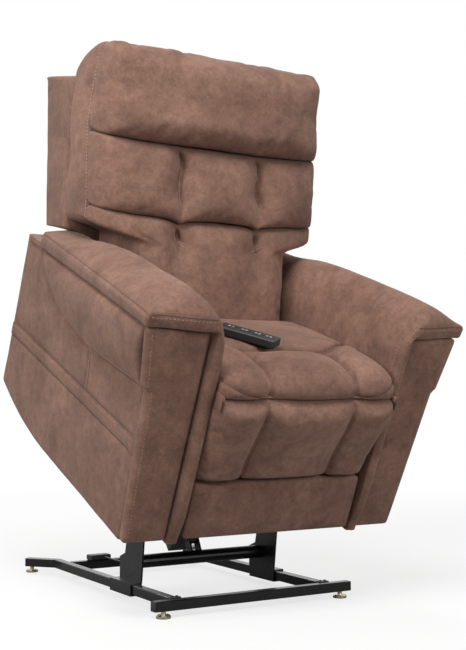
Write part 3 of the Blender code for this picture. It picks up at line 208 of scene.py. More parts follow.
def set_coords(obj, points):
    obj.data.vertices.foreach_set("co", points.astype(np.float32).ravel())
    obj.data.update()


def push(obj, amount):
    """Moves each point out along its normal."""
    set_coords(obj, coords(obj) + rows_of(obj.data.vertex_normals, "vector")
               * np.asarray(amount)[:, None])


def wrinkle(obj, depth, scale, seed, where=1.0):
    """Gentle unevenness of a soft cover."""
    offset = Vector((seed, seed * 1.7, seed * 2.3))
    uneven = [noise.fractal(Vector(p) * scale + offset, 1.0, 2.0, 2) for p in coords(obj)]
    push(obj, depth * np.array(uneven) * where)


class Pad:
    """A padded piece: its object, and each point's place on its block and in the chair."""

    def __init__(self, name, grid, radius, shape):
        uvw, quads = lattice(grid, radius)
        self.u, self.v, self.w = uvw.T
        self.x, self.y, self.z = shape(self.u, self.v, self.w)
        points = np.stack([self.x, self.y, self.z], axis=1)
        self.obj = mesh_object(name, chair_points(points), quads)


CLOTH = {"quality": 5, "mass": 0.3, "tension_stiffness": 15.0, "compression_stiffness": 15.0,
         "shear_stiffness": 5.0, "bending_stiffness": 0.6, "use_pressure": True,
         "uniform_pressure_force": 4.0, "shrink_min": -0.02, "vertex_group_mass": "hold"}
CLOTH_FRAMES = 20


def inflate(obj, hold, cap):
    """Blows a cover up from inside, by cap at most. hold is 1 where it is sewn, 0 where free."""
    group = obj.vertex_groups.new(name="hold")
    levels = np.round(unit(hold) * 10) / 10
    for level in np.unique(levels[levels > 0]):
        group.add(np.nonzero(levels == level)[0].tolist(), float(level), "REPLACE")
    cloth = obj.modifiers.new("cloth", "CLOTH")
    for name, value in CLOTH.items():
        setattr(cloth.settings, name, value)
    cloth.settings.effector_weights.gravity = 0.0
    cloth.collision_settings.use_collision = False
    cloth.point_cache.frame_end = CLOTH_FRAMES + 1
    start = coords(obj)
    for number in range(1, CLOTH_FRAMES + 1):
        bpy.context.scene.frame_set(number)
    end = coords(obj.evaluated_get(bpy.context.evaluated_depsgraph_get()))
    obj.modifiers.remove(cloth)
    obj.vertex_groups.remove(group)
    bpy.context.scene.frame_set(1)
    move = end - start
    length = np.maximum(np.linalg.norm(move, axis=1, keepdims=True), 1e-9)
    set_coords(obj, start + move * cap * np.tanh(length / cap) / length)


# ---- materials ----
class Nodes:
    """A short way to wire the nodes of a material or a world."""

    def __init__(self, owner):
        owner.use_nodes = True
        self.owner, self.tree = owner, owner.node_tree

    def give(self, node, key, value):
        """Sets a node's input, or links it where the value is another node's output."""
        if isinstance(value, bpy.types.NodeSocket):
            self.tree.links.new(value, node.inputs[key])
        else:
            node.inputs[key].default_value = value

    def add(self, kind, *inputs, **values):
        node = self.tree.nodes.new("ShaderNode" + kind)
        for key, value in enumerate(inputs):
            self.give(node, key, value)
        for key, value in values.items():
            if hasattr(node, key):
                setattr(node, key, value)
            else:
                self.give(node, key.replace("_", " "), value)
        return node


class Look(Nodes):
    """A procedural material around its one main shader."""

    def __init__(self, name):
        super().__init__(bpy.data.materials.new(name))
        self.shader = self.tree.nodes["Principled BSDF"]
        self.coords = self.add("TexCoord").outputs["Object"]

    def noise(self, scale, detail=3.0, roughness=0.55, distortion=0.0, stretch=None):
        place = self.coords
        if stretch:
            place = self.add("Mapping", Scale=stretch, Vector=place).outputs["Vector"]
        return self.add("TexNoise", Scale=scale, Detail=detail, Roughness=roughness,
                        Distortion=distortion, Vector=place).outputs["Fac"]

    def ramp(self, value, *stops):
        node = self.add("ValToRGB", value)
        elements = node.color_ramp.elements
        elements.remove(elements[1])
        for i, (position, color) in enumerate(stops):
            stop = elements.new(position) if i else elements[0]
            stop.position = position
            stop.color = (*color, 1.0)
        return node.outputs["Color"]

    def blend(self, kind, share, first, second):
        return self.add("Mix", data_type="RGBA", blend_type=kind, Factor=share, A=first,
                        B=second).outputs["Result"]

    def range(self, value, low, high):
        return self.add("MapRange", value, To_Min=low, To_Max=high).outputs["Result"]

    def finish(self, color, bumps, rough=None, **values):
        """Wires the colour, the roughness and the (height, distance) bumps to the shader."""
        self.give(self.shader, "Base Color", color)
        if rough:
            self.give(self.shader, "Roughness", self.range(*rough))
        last = {}
        for height, distance in bumps:
            node = self.add("Bump", Strength=1.0, Distance=distance, Height=height, **last)
            last = {"Normal": node.outputs["Normal"]}
        for key, value in (last | values).items():
            self.give(self.shader, key.replace("_", " "), value)
        return self.owner


def grey(value):
    return (value, value, value)


def suede():
    """Brushed microfibre with a mottled nap."""
    n = Look("brown_suede")
    broad = n.noise(7.0, 3.0, 0.55, 0.6)
    cloud = n.ramp(broad, (0.30, (0.160, 0.084, 0.061)), (0.50, (0.206, 0.112, 0.081)),
                   (0.72, (0.262, 0.146, 0.106)))
    mottle = n.ramp(n.noise(34.0, 5.0, 0.72, 0.4), (0.32, grey(0.26)), (0.52, grey(0.52)),
                    (0.70, grey(0.70)))
    nap = n.ramp(n.noise(150.0, 4.0, 0.75), (0.34, grey(0.30)), (0.66, grey(0.68)))
    tone = n.blend("OVERLAY", 0.50, cloud, mottle)
    bumps = [(n.noise(30.0, 3.0, 0.6), 0.0012), (n.noise(420.0, 4.0, 0.65), 0.00030)]
    return n.finish(n.blend("OVERLAY", 0.42, tone, nap), bumps, (broad, 0.70, 0.90),
                    Sheen_Weight=0.16, Sheen_Roughness=0.5, Specular_IOR_Level=0.22,
                    Sheen_Tint=(1.0, 0.80, 0.70, 1.0))


def two_tone(name, mottle, low, high, grain, rough=None, **values):
    """A hard look: two mixed tones, a fine grain (noise, distance) and perhaps uneven gloss."""
    n = Look(name)
    gloss = rough and (n.noise(*rough[0]), *rough[1:])
    return n.finish(n.ramp(n.noise(*mottle), (0.3, low), (0.7, high)),
                    [(n.noise(*grain[0]), grain[1])], gloss, **values)


def thread(name, low, high):
    return two_tone(name, (300.0,), low, high, ((1500.0, 2.0), 0.00008), Roughness=0.6)


def bright_steel(name, tint):
    return two_tone(name, (60.0, 4.0), tuple(c * 0.72 for c in tint), tint,
                    ((500.0, 2.0, 0.55, 0.0, (1.0, 1.0, 0.1)), 0.00005),
                    ((90.0, 3.0), 0.18, 0.36), Metallic=1.0)


def moulded_black(name, low, high, grain):
    return two_tone(name, (25.0, 4.0), grey(low), grey(high), ((grain, 3.0), 0.00012),
                    ((80.0, 3.0), 0.42, 0.58))


SUEDE = suede()
THREAD = thread("tan_thread", (0.27, 0.165, 0.122), (0.39, 0.255, 0.195))
PALE_THREAD = thread("pale_thread", (0.40, 0.265, 0.205), (0.54, 0.38, 0.30))
# near-black colour of painted shade, for the cords laid along seams and folds
SEAM_SHADE = thread("seam_shadow", (0.040, 0.020, 0.014), (0.062, 0.032, 0.023))
DARK_THREAD = thread("brown_thread", (0.17, 0.092, 0.068), (0.26, 0.148, 0.110))
SYMBOL = thread("key_print", (0.62, 0.66, 0.68), (0.74, 0.78, 0.80))
# gloss powder coat with a fine orange peel
PAINT = two_tone("black_paint", (30.0,), grey(0.0045), grey(0.0080), ((900.0, 2.0), 0.00006),
                 ((18.0, 4.0), 0.22, 0.36), Specular_IOR_Level=0.32, Coat_Weight=0.18,
                 Coat_Roughness=0.15)
HANDSET = moulded_black("handset_plastic", 0.016, 0.026, 1100.0)
CABLE = moulded_black("cable_jacket", 0.012, 0.018, 700.0)
RINGS = (30.0, 5.0, 0.6, 1.2, (1.0, 0.12, 1.0))
SLOT_LOOKS = {
    "upholstery": SUEDE, "frame_black": PAINT, "handset_black": HANDSET, "key_grey": HANDSET,
    "cable_black": CABLE,
    "steel": bright_steel("bright_steel", (0.62, 0.60, 0.56)),
    "foot_steel": bright_steel("glide_steel", (0.66, 0.58, 0.42)),
    "motor_black": moulded_black("motor_plastic", 0.014, 0.022, 500.0),
    "plywood": two_tone("plywood", RINGS, (0.33, 0.20, 0.10), (0.55, 0.38, 0.22),
                        (RINGS, 0.0003), Roughness=0.72)}
for entry in frame["record"]["subparts"]:
    node = frame["nodes"][entry["node"]]
    node.data.materials.clear()
    node.data.materials.append(SLOT_LOOKS[entry["material_slot"]])


def dress(obj, body, replaced=(), look=SUEDE):
    """Gives a piece its finish and, where one is given, the body that it rides on."""
    obj.data.materials.clear()
    obj.data.materials.append(look)
    if body:
        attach(obj, body)
    if replaced:
        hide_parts(*replaced)
    return obj


def cover(obj, body, replaced):
    """Finishes a padded cover that stands for the solids it replaces."""
    rounding = obj.modifiers.new("rounding", "SUBSURF")
    rounding.levels = rounding.render_levels = 1
    dress(obj, body, replaced)


# ---- stitches, and cords of painted seam shade ----
STITCH_LONG, STITCH_PITCH, STITCH_RADIUS, STITCH_REACH = 0.0062, 0.0098, 0.0007, 0.03
CORD_RADIUS, CAST_BACK, CAST_REACH = 0.0011, 0.12, 0.3


def along(points):
    """Evenly spaced (place, heading) pairs along a line, one for each stitch."""
    spots, left = [], STITCH_PITCH / 2
    for a, b in zip(points, points[1:]):
        length = (b - a).length
        if length < 1e-9:
            continue
        heading = (b - a) / length
        while left <= length:
            spots.append((a + heading * left, heading))
            left += STITCH_PITCH
        left -= length
    return spots


def stitches(name, surface, lines, body, look=THREAD):
    """Rows of thread lying on a piece, along lines given in the chair's frame."""
    tree = BVHTree.FromObject(surface, bpy.context.evaluated_depsgraph_get())
    points, faces = [], []
    for line in lines:
        for spot, heading in along([CHAIR @ Vector(p) for p in line]):
            hit, normal, _, distance = tree.find_nearest(spot)
            if hit is None or distance > STITCH_REACH:
                continue
            heading = (heading - normal * heading.dot(normal)).normalized()
            across = heading.cross(normal) * 1.15
            first = len(points)
            tips = [hit + heading * STITCH_LONG * share - normal * STITCH_RADIUS * 0.6
                    for share in (-0.5, 0.5)]
            points.append(tips[0])
            for share in (-0.36, 0.36):
                centre = hit + heading * STITCH_LONG * share
                points += circle(centre, across, normal * 0.8, STITCH_RADIUS, 5)
            points.append(tips[1])
            faces += strip(first + 1, 5, 2)
            for turn in range(5):
                after = (turn + 1) % 5
                faces += [(first, first + 1 + after, first + 1 + turn),
                          (first + 11, first + 6 + turn, first + 6 + after)]
    return dress(mesh_object(name, points, faces), body, look=look)


def seam_shade_cord(name, surface, lines, toward, body, radius=CORD_RADIUS):
    """Dark cords of painted shade, sunk along the seams: each line (chair's frame) is cast onto the
    piece in one direction.
    """
    tree = BVHTree.FromObject(surface, bpy.context.evaluated_depsgraph_get())
    heading = (CHAIR.to_3x3() @ Vector(toward)).normalized()
    points, faces = [], []
    for line in lines:
        hits = []
        for spot in line:
            start = CHAIR @ Vector(spot) - heading * CAST_BACK
            hit, normal, _, _ = tree.ray_cast(start, heading, CAST_REACH)
            if hit is not None:
                hits.append((hit - normal * radius * 0.35, normal))
        if len(hits) < 3:
            continue
        first, last = len(points), len(hits) - 1
        for i, (hit, normal) in enumerate(hits):
            run = hits[min(i + 1, last)][0] - hits[max(i - 1, 0)][0]
            across = run.cross(normal).normalized()
            points += circle(hit, across, normal, radius * (0.25 if i in (0, last) else 1.0), 6)
        faces += strip(first, 6, len(hits))
        faces += [tuple(range(first, first + 6)), tuple(range(len(points) - 6, len(points)))]
    return dress(mesh_object(name, points, faces), body, look=SEAM_SHADE)


# ---- seat ----
def cell_crown(x, edge, power=2.4):
    """0 on the lengthwise seams and at the edge, and 1 in the middle of each cell."""
    side = np.abs(x)
    middle = 1 - np.abs(x / SEAM_X) ** power
    outer = 1 - np.abs((2 * side - SEAM_X - edge) / (edge - SEAM_X)) ** power
    return np.where(side < SEAM_X, middle, np.maximum(outer, 0.0))


def hem(x):
    """Height of the joint between the seat and the leg rest, which sags in each cell."""
    return SEAT_LIP_Z - 0.004 - 0.0040 * cell_crown(x, SEAT_HALF, 2.0)


def lip_seam(x):
    """Height of the sewn seam across the seat's front: it climbs to both sides."""
    side = unit((np.abs(x) - SEAM_X) / (SEAT_HALF - SEAM_X))
    return hem(x) + 0.038 * side ** 1.35


def cross_seam(x):
    """y of the seam behind the front cells, which runs back at both sides."""
    return CROSS_SEAM_Y + 0.085 * ease((np.abs(x) - SEAM_X + 0.01) / 0.15)


def make_seat():
    half_y = (SEAT_REAR_Y - SEAT_FRONT_Y) / 2
    roll_end, seam_at, power = 0.28, 0.44, 2 / 2.7

    def shape(u, v, w):
        x = u * SEAT_COVER_HALF
        up, along = (w + 1) / 2, (v + 1) / 2
        cell = np.maximum(cell_crown(x, SEAT_COVER_HALF, 2.2), 0.0)
        start = -0.307 - 0.011 * cell + 0.016 * np.abs(u) ** 9
        seam = cross_seam(x)
        turn = unit(along / roll_end) * math.pi / 2
        roll = np.sin(turn) ** power
        y = start + 0.120 * (1 - np.maximum(np.cos(turn), 0.0) ** power)
        y = y + (seam - start - 0.120) * unit((along - roll_end) / (seam_at - roll_end))
        behind = unit((along - seam_at) / (1 - seam_at))
        y = y + (SEAT_REAR_Y - seam) * behind
        # front cells: a full roll up from the hem to a crest, down again to the cross seam
        crest = 0.768 + 0.023 * cell ** 0.8 - 0.006 * np.abs(u) ** 12
        cells = SEAT_LIP_Z + 0.004 + (crest - SEAT_LIP_Z - 0.004) * roll
        cells = cells - 0.018 * ease((y - seam + 0.055) / 0.055) * cell ** 0.8
        panel = mix(0.770, 0.750, behind) + 0.018 * np.sin(math.pi * behind ** 0.6) ** 0.8 \
            * (1 - np.abs(u) ** 5)
        top = np.where(along < seam_at, cells, panel)
        bottom = np.where(y < -0.145, hem(x), DECK_TOP_Z + GAP)
        z = mix(bottom, top, up)
        # the face springs out from the hinge line at the hem
        rise = unit((z - hem(x)) / 0.016) ** 0.7
        return x, np.where(v < 0, mix(np.maximum(y, HINGE_Y), y, rise), y), z

    grid = (marks(SEAT_COVER_HALF, 0.0085, (-SEAM_X, SEAM_X)),
            marks(half_y, 0.0058, ((2 * seam_at - 1) * half_y,)), marks(0.085, 0.0100))
    pad = Pad("seat_cushion_cover", grid, 0.008, shape)
    up = (pad.w + 1) / 2
    columns = dip(np.abs(pad.x) - SEAM_X, 0.006) * ease((cross_seam(pad.x) - pad.y) / 0.02)
    cross = dip(pad.y - cross_seam(pad.x), 0.007)
    sides = ease((np.abs(pad.x) - SEAM_X) / 0.02) * (pad.y < -0.270) * (pad.z > hem(pad.x) + 0.003)
    sewn = dip(pad.z - lip_seam(pad.x), 0.0055) * sides
    under_handset = dip(pad.x + 0.078, 0.085) * dip(pad.y + 0.08, 0.085)
    fixed = most(columns, cross, sewn, 1 - ease(up / 0.30), ease((np.abs(pad.u) - 0.93) / 0.05),
                 ease((pad.v - 0.80) / 0.15), under_handset)
    inflate(pad.obj, fixed, 0.010)
    groove = np.maximum(0.0085 * columns, 0.0070 * cross) * ease((up - 0.12) / 0.2)
    push(pad.obj, -np.maximum(groove, 0.0060 * sewn))
    wrinkle(pad.obj, 0.0014, 13.0, 2.0, ease((up - 0.5) / 0.3))
    cover(pad.obj, "chair", ["seat_cushion"])
    rows = [[(x, -0.312, float(lip_seam(x)) + 0.0075)
             for x in np.linspace(a + 0.008, b - 0.008, 14)]
            for a, b in ((-0.252, -SEAM_X), (-SEAM_X, SEAM_X), (SEAM_X, 0.252))]
    stitches("hem_stitching", pad.obj, rows, "chair", DARK_THREAD)
    # dark cords of painted shade in the seams that climb the seat's front
    climbs = [[(side * x, -0.30, float(lip_seam(x)))
               for x in np.linspace(SEAM_X + 0.004, 0.256, 34)] for side in (-1, 1)]
    seam_shade_cord("seat_seam_shade", pad.obj, climbs, (0, 1, 0), "chair")


def leg_profile(z):
    """y of the leg rest's lengthwise seams at each height below the hem."""
    return np.interp(z, [0.472, 0.531, 0.587, 0.645, 0.663, 0.681, 0.69],
                     [-0.251, -0.265, -0.286, -0.307, -0.3135, -0.3175, -0.3185])


def make_leg_pad():
    def shape(u, v, w):
        up = (w + 1) / 2
        x = u * mix(LEG_HALF, LEG_COVER_HALF, ease(up / 0.6))
        top = hem(x) - 0.0022
        z = mix(LEG_LOW_Z, top, up)
        # it springs out from the hinge line, tapers on the way down and turns in at the bottom
        spring = unit((top - z) / 0.026) ** 0.7
        turn_in = np.sqrt(unit(1 - unit(1 - up / 0.07) ** 2))
        cell = np.maximum(cell_crown(x, LEG_HALF, 2.4), 0.0)
        swell = 0.016 * cell * turn_in * ease((top - z) / 0.06 + 0.25)
        line = mix(HINGE_Y, leg_profile(z), spring)
        front = line - swell + 0.012 * np.abs(u) ** 14 + 0.006 * (1 - turn_in)
        y = mix(front, BOARD_Y - GAP, (v + 1) / 2)
        # the lower corners are rounded
        z = z + 0.007 * ease((np.abs(u) - 0.90) / 0.10) ** 1.5 * (1 - up) ** 3
        return x, y, z

    grid = (marks(LEG_COVER_HALF, 0.0085, (-SEAM_X, SEAM_X)), marks(0.045, 0.011),
            marks((LEG_TOP_Z - LEG_LOW_Z) / 2, 0.0075))
    pad = Pad("leg_rest_cover", grid, 0.006, shape)
    out = (1 - pad.v) / 2
    fixed = most(dip(np.abs(pad.x) - SEAM_X, 0.006), 1 - ease(out / 0.5),
                 ease((np.abs(pad.w) - 0.88) / 0.07))
    inflate(pad.obj, fixed, 0.007)
    push(pad.obj, -0.0080 * dip(np.abs(pad.x) - SEAM_X, 0.0048) * ease((out - 0.4) / 0.3)
         * ease((0.98 - pad.w) / 0.08))
    wrinkle(pad.obj, 0.0013, 13.0, 4.0, ease((out - 0.5) / 0.3) * ease((0.85 - pad.w) / 0.2))
    cover(pad.obj, None, ["leg_rest_pad"])
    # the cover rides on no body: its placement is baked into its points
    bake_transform(pad.obj)


def make_hinge_cover(label, side):
    """A turned fabric button over the leg rest's hinge eye."""
    radii = [(0.2524, 0.0030), (0.2526, 0.0070), (0.2536, 0.0090), (0.2556, 0.0098),
             (0.2590, 0.0098), (0.2603, 0.0090), (0.2610, 0.0070), (0.2611, 0.0030)]
    count, points = 28, []
    for x, radius in radii:
        centre = Vector((side * x, -0.300, HINGE_Z))
        points += circle(centre, Vector((0, 1, 0)), Vector((0, 0, 1)), radius, count)
    faces = strip(0, count, len(radii))
    faces += [tuple(range(count)), tuple(range(len(points) - count, len(points)))]
    dress(mesh_object("hinge_cover_" + label, chair_points(points), faces), "leg_rest")


def make_side_tape(label, side):
    """Cover cloth over the frame's side at the hinge, in the gap beside the arm."""
    half, radius = (0.00025, 0.0290, 0.0210), 0.0002
    uvw, quads = lattice([[-h, -h + radius, h - radius, h] for h in half], radius)
    points = uvw * np.array(half) + np.array((side * 0.26155, -0.2805, 0.6980))
    dress(mesh_object("side_tape_" + label, chair_points(points), quads), "chair")


def make_foot_panel():
    def shape(u, v, w):
        x = u * LEG_HALF
        up = (w + 1) / 2
        z = mix(FOOT_LOW_Z, FOOT_TOP_Z, up)
        front = mix(-0.239, -0.246, up) - 0.0075 * (1 - w * w) * (1 - u ** 6)
        # the cover sags off the pad above near the sitter's right
        z = z - 0.010 * dip(u + 0.70, 0.16) * ease((w - 0.5) / 0.5)
        return x, mix(front, BOARD_Y - GAP, (v + 1) / 2), z

    grid = (marks(LEG_HALF, 0.012), marks(0.014, 0.007),
            marks((FOOT_TOP_Z - FOOT_LOW_Z) / 2, 0.011))
    pad = Pad("foot_panel_cover", grid, 0.0085, shape)
    cover(pad.obj, "leg_rest", ["foot_panel"])


# ---- arms ----
def arm_front(z):
    return -0.223 - 0.070 * (z - 0.297)


def arm_bottom(y):
    return 0.288 + 0.37 * np.maximum(0.0, y - 0.30) ** 2


def arm_rear(z):
    return 0.765 - 0.10 * (z - 0.36)


def cap_share(y):
    start = arm_front(CAP_TOP_Z)
    return unit((y - start) / (CAP_REAR_Y - start))


def cap_low(y):
    return CAP_LOW_Z - 0.030 * cap_share(y)


def cap_top(y):
    return CAP_TOP_Z - 0.018 * cap_share(y)


def cap_out(y):
    return CAP_OUT_X - 0.055 * cap_share(y) ** 0.8


def crescent(y):
    """Height of the curved seam on the arm's side."""
    return np.interp(y, [-0.30, -0.170, 0.00, 0.149, 0.28, 0.389, 0.486, 0.577, 0.62],
                     [0.706, 0.695, 0.681, 0.680, 0.692, 0.715, 0.751, 0.825, 0.829])


def make_arm_side(label, side):
    step_y = CAP_REAR_Y + 0.026
    front_y, rear_y = arm_front(0.6), arm_rear(0.6)
    controls = [-1.0, -0.12, 0.02, 0.42, 1.0]

    def shape(u, v, w):
        rear = (v + 1) / 2
        middle = mix(front_y, rear_y, rear)
        top = np.where(middle < step_y, cap_low(middle) - 0.0025, 0.846)
        bottom = arm_bottom(middle)
        curve = np.minimum(crescent(middle), top - 0.004)
        rows = [bottom, np.full_like(u, WELT_LOW_Z), np.full_like(u, WELT_TOP_Z), curve, top]
        z = rows[0].copy()
        for k in range(4):
            share = unit((w - controls[k]) / (controls[k + 1] - controls[k]))
            z = z + (rows[k + 1] - rows[k]) * share
        y = mix(arm_front(z) + 0.0330, arm_rear(z), rear)
        flare = (FLARE_X - SIDE_X) * ease((z - 0.60) / 0.26) * ease(1 - rear * 1.15)
        outer = SIDE_X + flare
        out = (u + 1) / 2
        # padding: the panel above the curved seam swells, the welt stands a little proud
        above = unit((z - curve) / np.maximum(top - curve, 0.02))
        puff = 0.015 * np.sqrt(np.maximum(0.0, 1 - (2 * above - 1) ** 2)) * (above > 0)
        puff = puff * ease((0.60 - middle) / 0.10)
        welt = 0.0022 * (np.abs(z - (WELT_LOW_Z + WELT_TOP_Z) / 2) < 0.019)
        belly = 0.004 * np.sin(math.pi * unit((z - 0.30) / 0.22)) * (1 - v ** 4)
        x = mix(LEAF_OUTER_X + 0.0005, outer + puff + welt + belly, out)
        return side * x, y, z

    half_z = 0.285
    rows = [c * half_z for c in controls[1:4]]
    middle_y = (front_y + rear_y) / 2
    grid = (marks(0.058, 0.015), marks((rear_y - front_y) / 2, 0.0110, (SIDE_SEAM_Y - middle_y,)),
            marks(half_z, 0.0095, rows))
    pad = Pad("arm_side_cover_" + label, grid, 0.012, shape)
    outside = pad.u > 0.55
    middle = mix(front_y, rear_y, (pad.v + 1) / 2)
    groove = np.zeros_like(pad.u)
    for row, depth in zip(controls[1:4], (0.0045, 0.0055, 0.0085)):
        groove = np.maximum(groove, depth * dip((pad.w - row) * half_z, 0.0040))
    within = (pad.z > WELT_TOP_Z) & (pad.z < crescent(pad.y))
    groove = np.maximum(groove, 0.0040 * dip(middle - SIDE_SEAM_Y, 0.0034) * within)
    groove = groove * ease((0.94 - np.abs(pad.v)) / 0.03)
    push(pad.obj, np.where(outside, -groove, 0.0))
    wrinkle(pad.obj, 0.0011, 11.0, 3.0 + side)
    cover(pad.obj, "chair", ["arm_side_" + label])
    x = side * (SIDE_X + 0.004)
    lines = [[(x, y, WELT_TOP_Z - 0.007) for y in np.linspace(-0.17, 0.735, 60)],
             [(side * (SIDE_X + 0.03), y, crescent(y) + 0.007)
              for y in np.linspace(-0.19, 0.565, 60)]]
    stitches("side_stitching_" + label, pad.obj, lines, "chair")
    # dark cords of painted shade along the welt, the curved seam and the upright seam
    upright = [(x, SIDE_SEAM_Y, z) for z in np.linspace(WELT_TOP_Z + 0.004, 0.676, 20)]
    seams = [[(x, y, WELT_TOP_Z) for y in np.linspace(-0.222, 0.742, 90)],
             [(x, y, WELT_LOW_Z) for y in np.linspace(-0.219, 0.745, 90)],
             [(x, y, float(crescent(y))) for y in np.linspace(-0.225, 0.575, 90)], upright]
    seam_shade_cord("side_seam_shade_" + label, pad.obj, seams, (-side, 0, 0), "chair")


def make_front_panel(label, side):
    low, high = 0.298, CAP_LOW_Z - 0.0022

    def edge(z):
        return np.interp(z, [0.298, 0.700, 0.708, 0.716, 0.735, 0.862],
                         [0.409, 0.428, 0.433, 0.441, 0.4435, 0.4605])

    def shape(u, v, w):
        z = mix(low, high, (w + 1) / 2)
        x = mix(LEAF_OUTER_X + 0.001, edge(z), (u + 1) / 2)
        crown = 0.006 * (1 - u ** 4) * (1 - w ** 8)
        y = mix(arm_front(z) + 0.001 - crown, arm_front(z) + 0.031, (v + 1) / 2)
        return side * x, y, z

    notch = 0.708 - (low + high) / 2
    grid = (marks(0.068, 0.0085), marks(0.016, 0.008),
            marks((high - low) / 2, 0.0095, (notch - 0.006, notch + 0.006)))
    pad = Pad("arm_front_cover_" + label, grid, 0.008, shape)
    cover(pad.obj, "chair", ["arm_front_panel_" + label])
    heights = [high - 0.012, 0.740, 0.722, 0.712, 0.704, 0.694, 0.60, 0.50, 0.40, low + 0.014]
    line = [(side * (edge(z) - 0.010), arm_front(z) - 0.004, z) for z in heights]
    stitches("front_stitching_" + label, pad.obj, [line], "chair")


def resample(points, count):
    """Evenly spaced points along a path."""
    length = np.concatenate([[0], np.cumsum(np.linalg.norm(np.diff(points, axis=0), axis=1))])
    at = np.linspace(0, length[-1], count)
    return np.stack([np.interp(at, length, column) for column in points.T], axis=1)


def catmull(points, count):
    """Evenly spaced points on a smooth curve through the given ones."""
    p = [np.array(q, float) for q in points]
    p = [2 * p[0] - p[1], *p, 2 * p[-1] - p[-2]]
    fine = []
    for a, b, c, d in zip(p, p[1:], p[2:], p[3:]):
        for t in np.linspace(0, 1, 12, endpoint=False):
            fine.append(0.5 * (2 * b + (c - a) * t + (2 * a - 5 * b + 4 * c - d) * t * t
                               + (3 * b - a - 3 * c + d) * t ** 3))
    fine.append(p[-2])
    return resample(np.array(fine), count)


LEAF_STEPS, CAP_STEPS = 56, 56


def cap_section(y):
    """The arm pad's outline at y as two matched (x, z) paths, from the leaf's foot to the band.

    The first runs up the inner face and over the crown, the second up the outer face and
    under the cap.
    """
    share = float(cap_share(y))
    out, top, low = float(cap_out(y)), float(cap_top(y)), float(cap_low(y))
    rise = 1 - math.exp(-max(0.0, y - arm_front(CAP_TOP_Z) + 0.002) / 0.030)
    fall = float(ease((y - 0.12) / 0.42))
    bottom = float(arm_bottom(y)) + 0.008
    spread = out - LEAF_INNER_X
    crown = top + 0.050 * rise - 0.038 * fall
    shoulder = top - 0.004 + 0.018 * rise - 0.014 * fall
    inner = [(LEAF_INNER_X + step, z) for step, z in (
        (0.004, bottom), (0.0, bottom + 0.008), (0.0, 0.50), (0.0, 0.66), (0.001, 0.78),
        (0.007, 0.845 - 0.010 * share), (0.17 * spread, shoulder), (0.40 * spread, crown),
        (0.62 * spread, mix(top, crown, 0.84)), (0.83 * spread, mix(top, crown, 0.48)))]
    inner = catmull(inner + [(out - 0.004, top + 0.001), (out, top - 0.006)], 240)
    split = int(np.argmax(inner[:, 1] > low - 0.006))
    leaf = resample(inner[:split + 1], LEAF_STEPS)
    over = resample(inner[split:], CAP_STEPS + 1)[1:]
    outer = np.stack([np.full(LEAF_STEPS, LEAF_OUTER_X), leaf[:, 1]], axis=1)
    outer[0, 0] -= 0.004
    under = resample(np.array([(LEAF_OUTER_X, low - 0.006), (LEAF_OUTER_X + 0.004, low),
                               (LEAF_OUTER_X + 0.03, low), (out - 0.006, low),
                               (out - 0.001, low + 0.004), (out + 0.0025, mix(low, top, 0.55)),
                               (out + 0.0008, top - 0.0075)]), CAP_STEPS + 1)[1:]
    return np.concatenate([leaf, over]), np.concatenate([outer, under])


def outline_normals(section):
    step = np.roll(section, -1, axis=0) - np.roll(section, 1, axis=0)
    out = np.stack([-step[:, 1], step[:, 0]], axis=1)
    return out / np.maximum(np.linalg.norm(out, axis=1, keepdims=True), 1e-9)


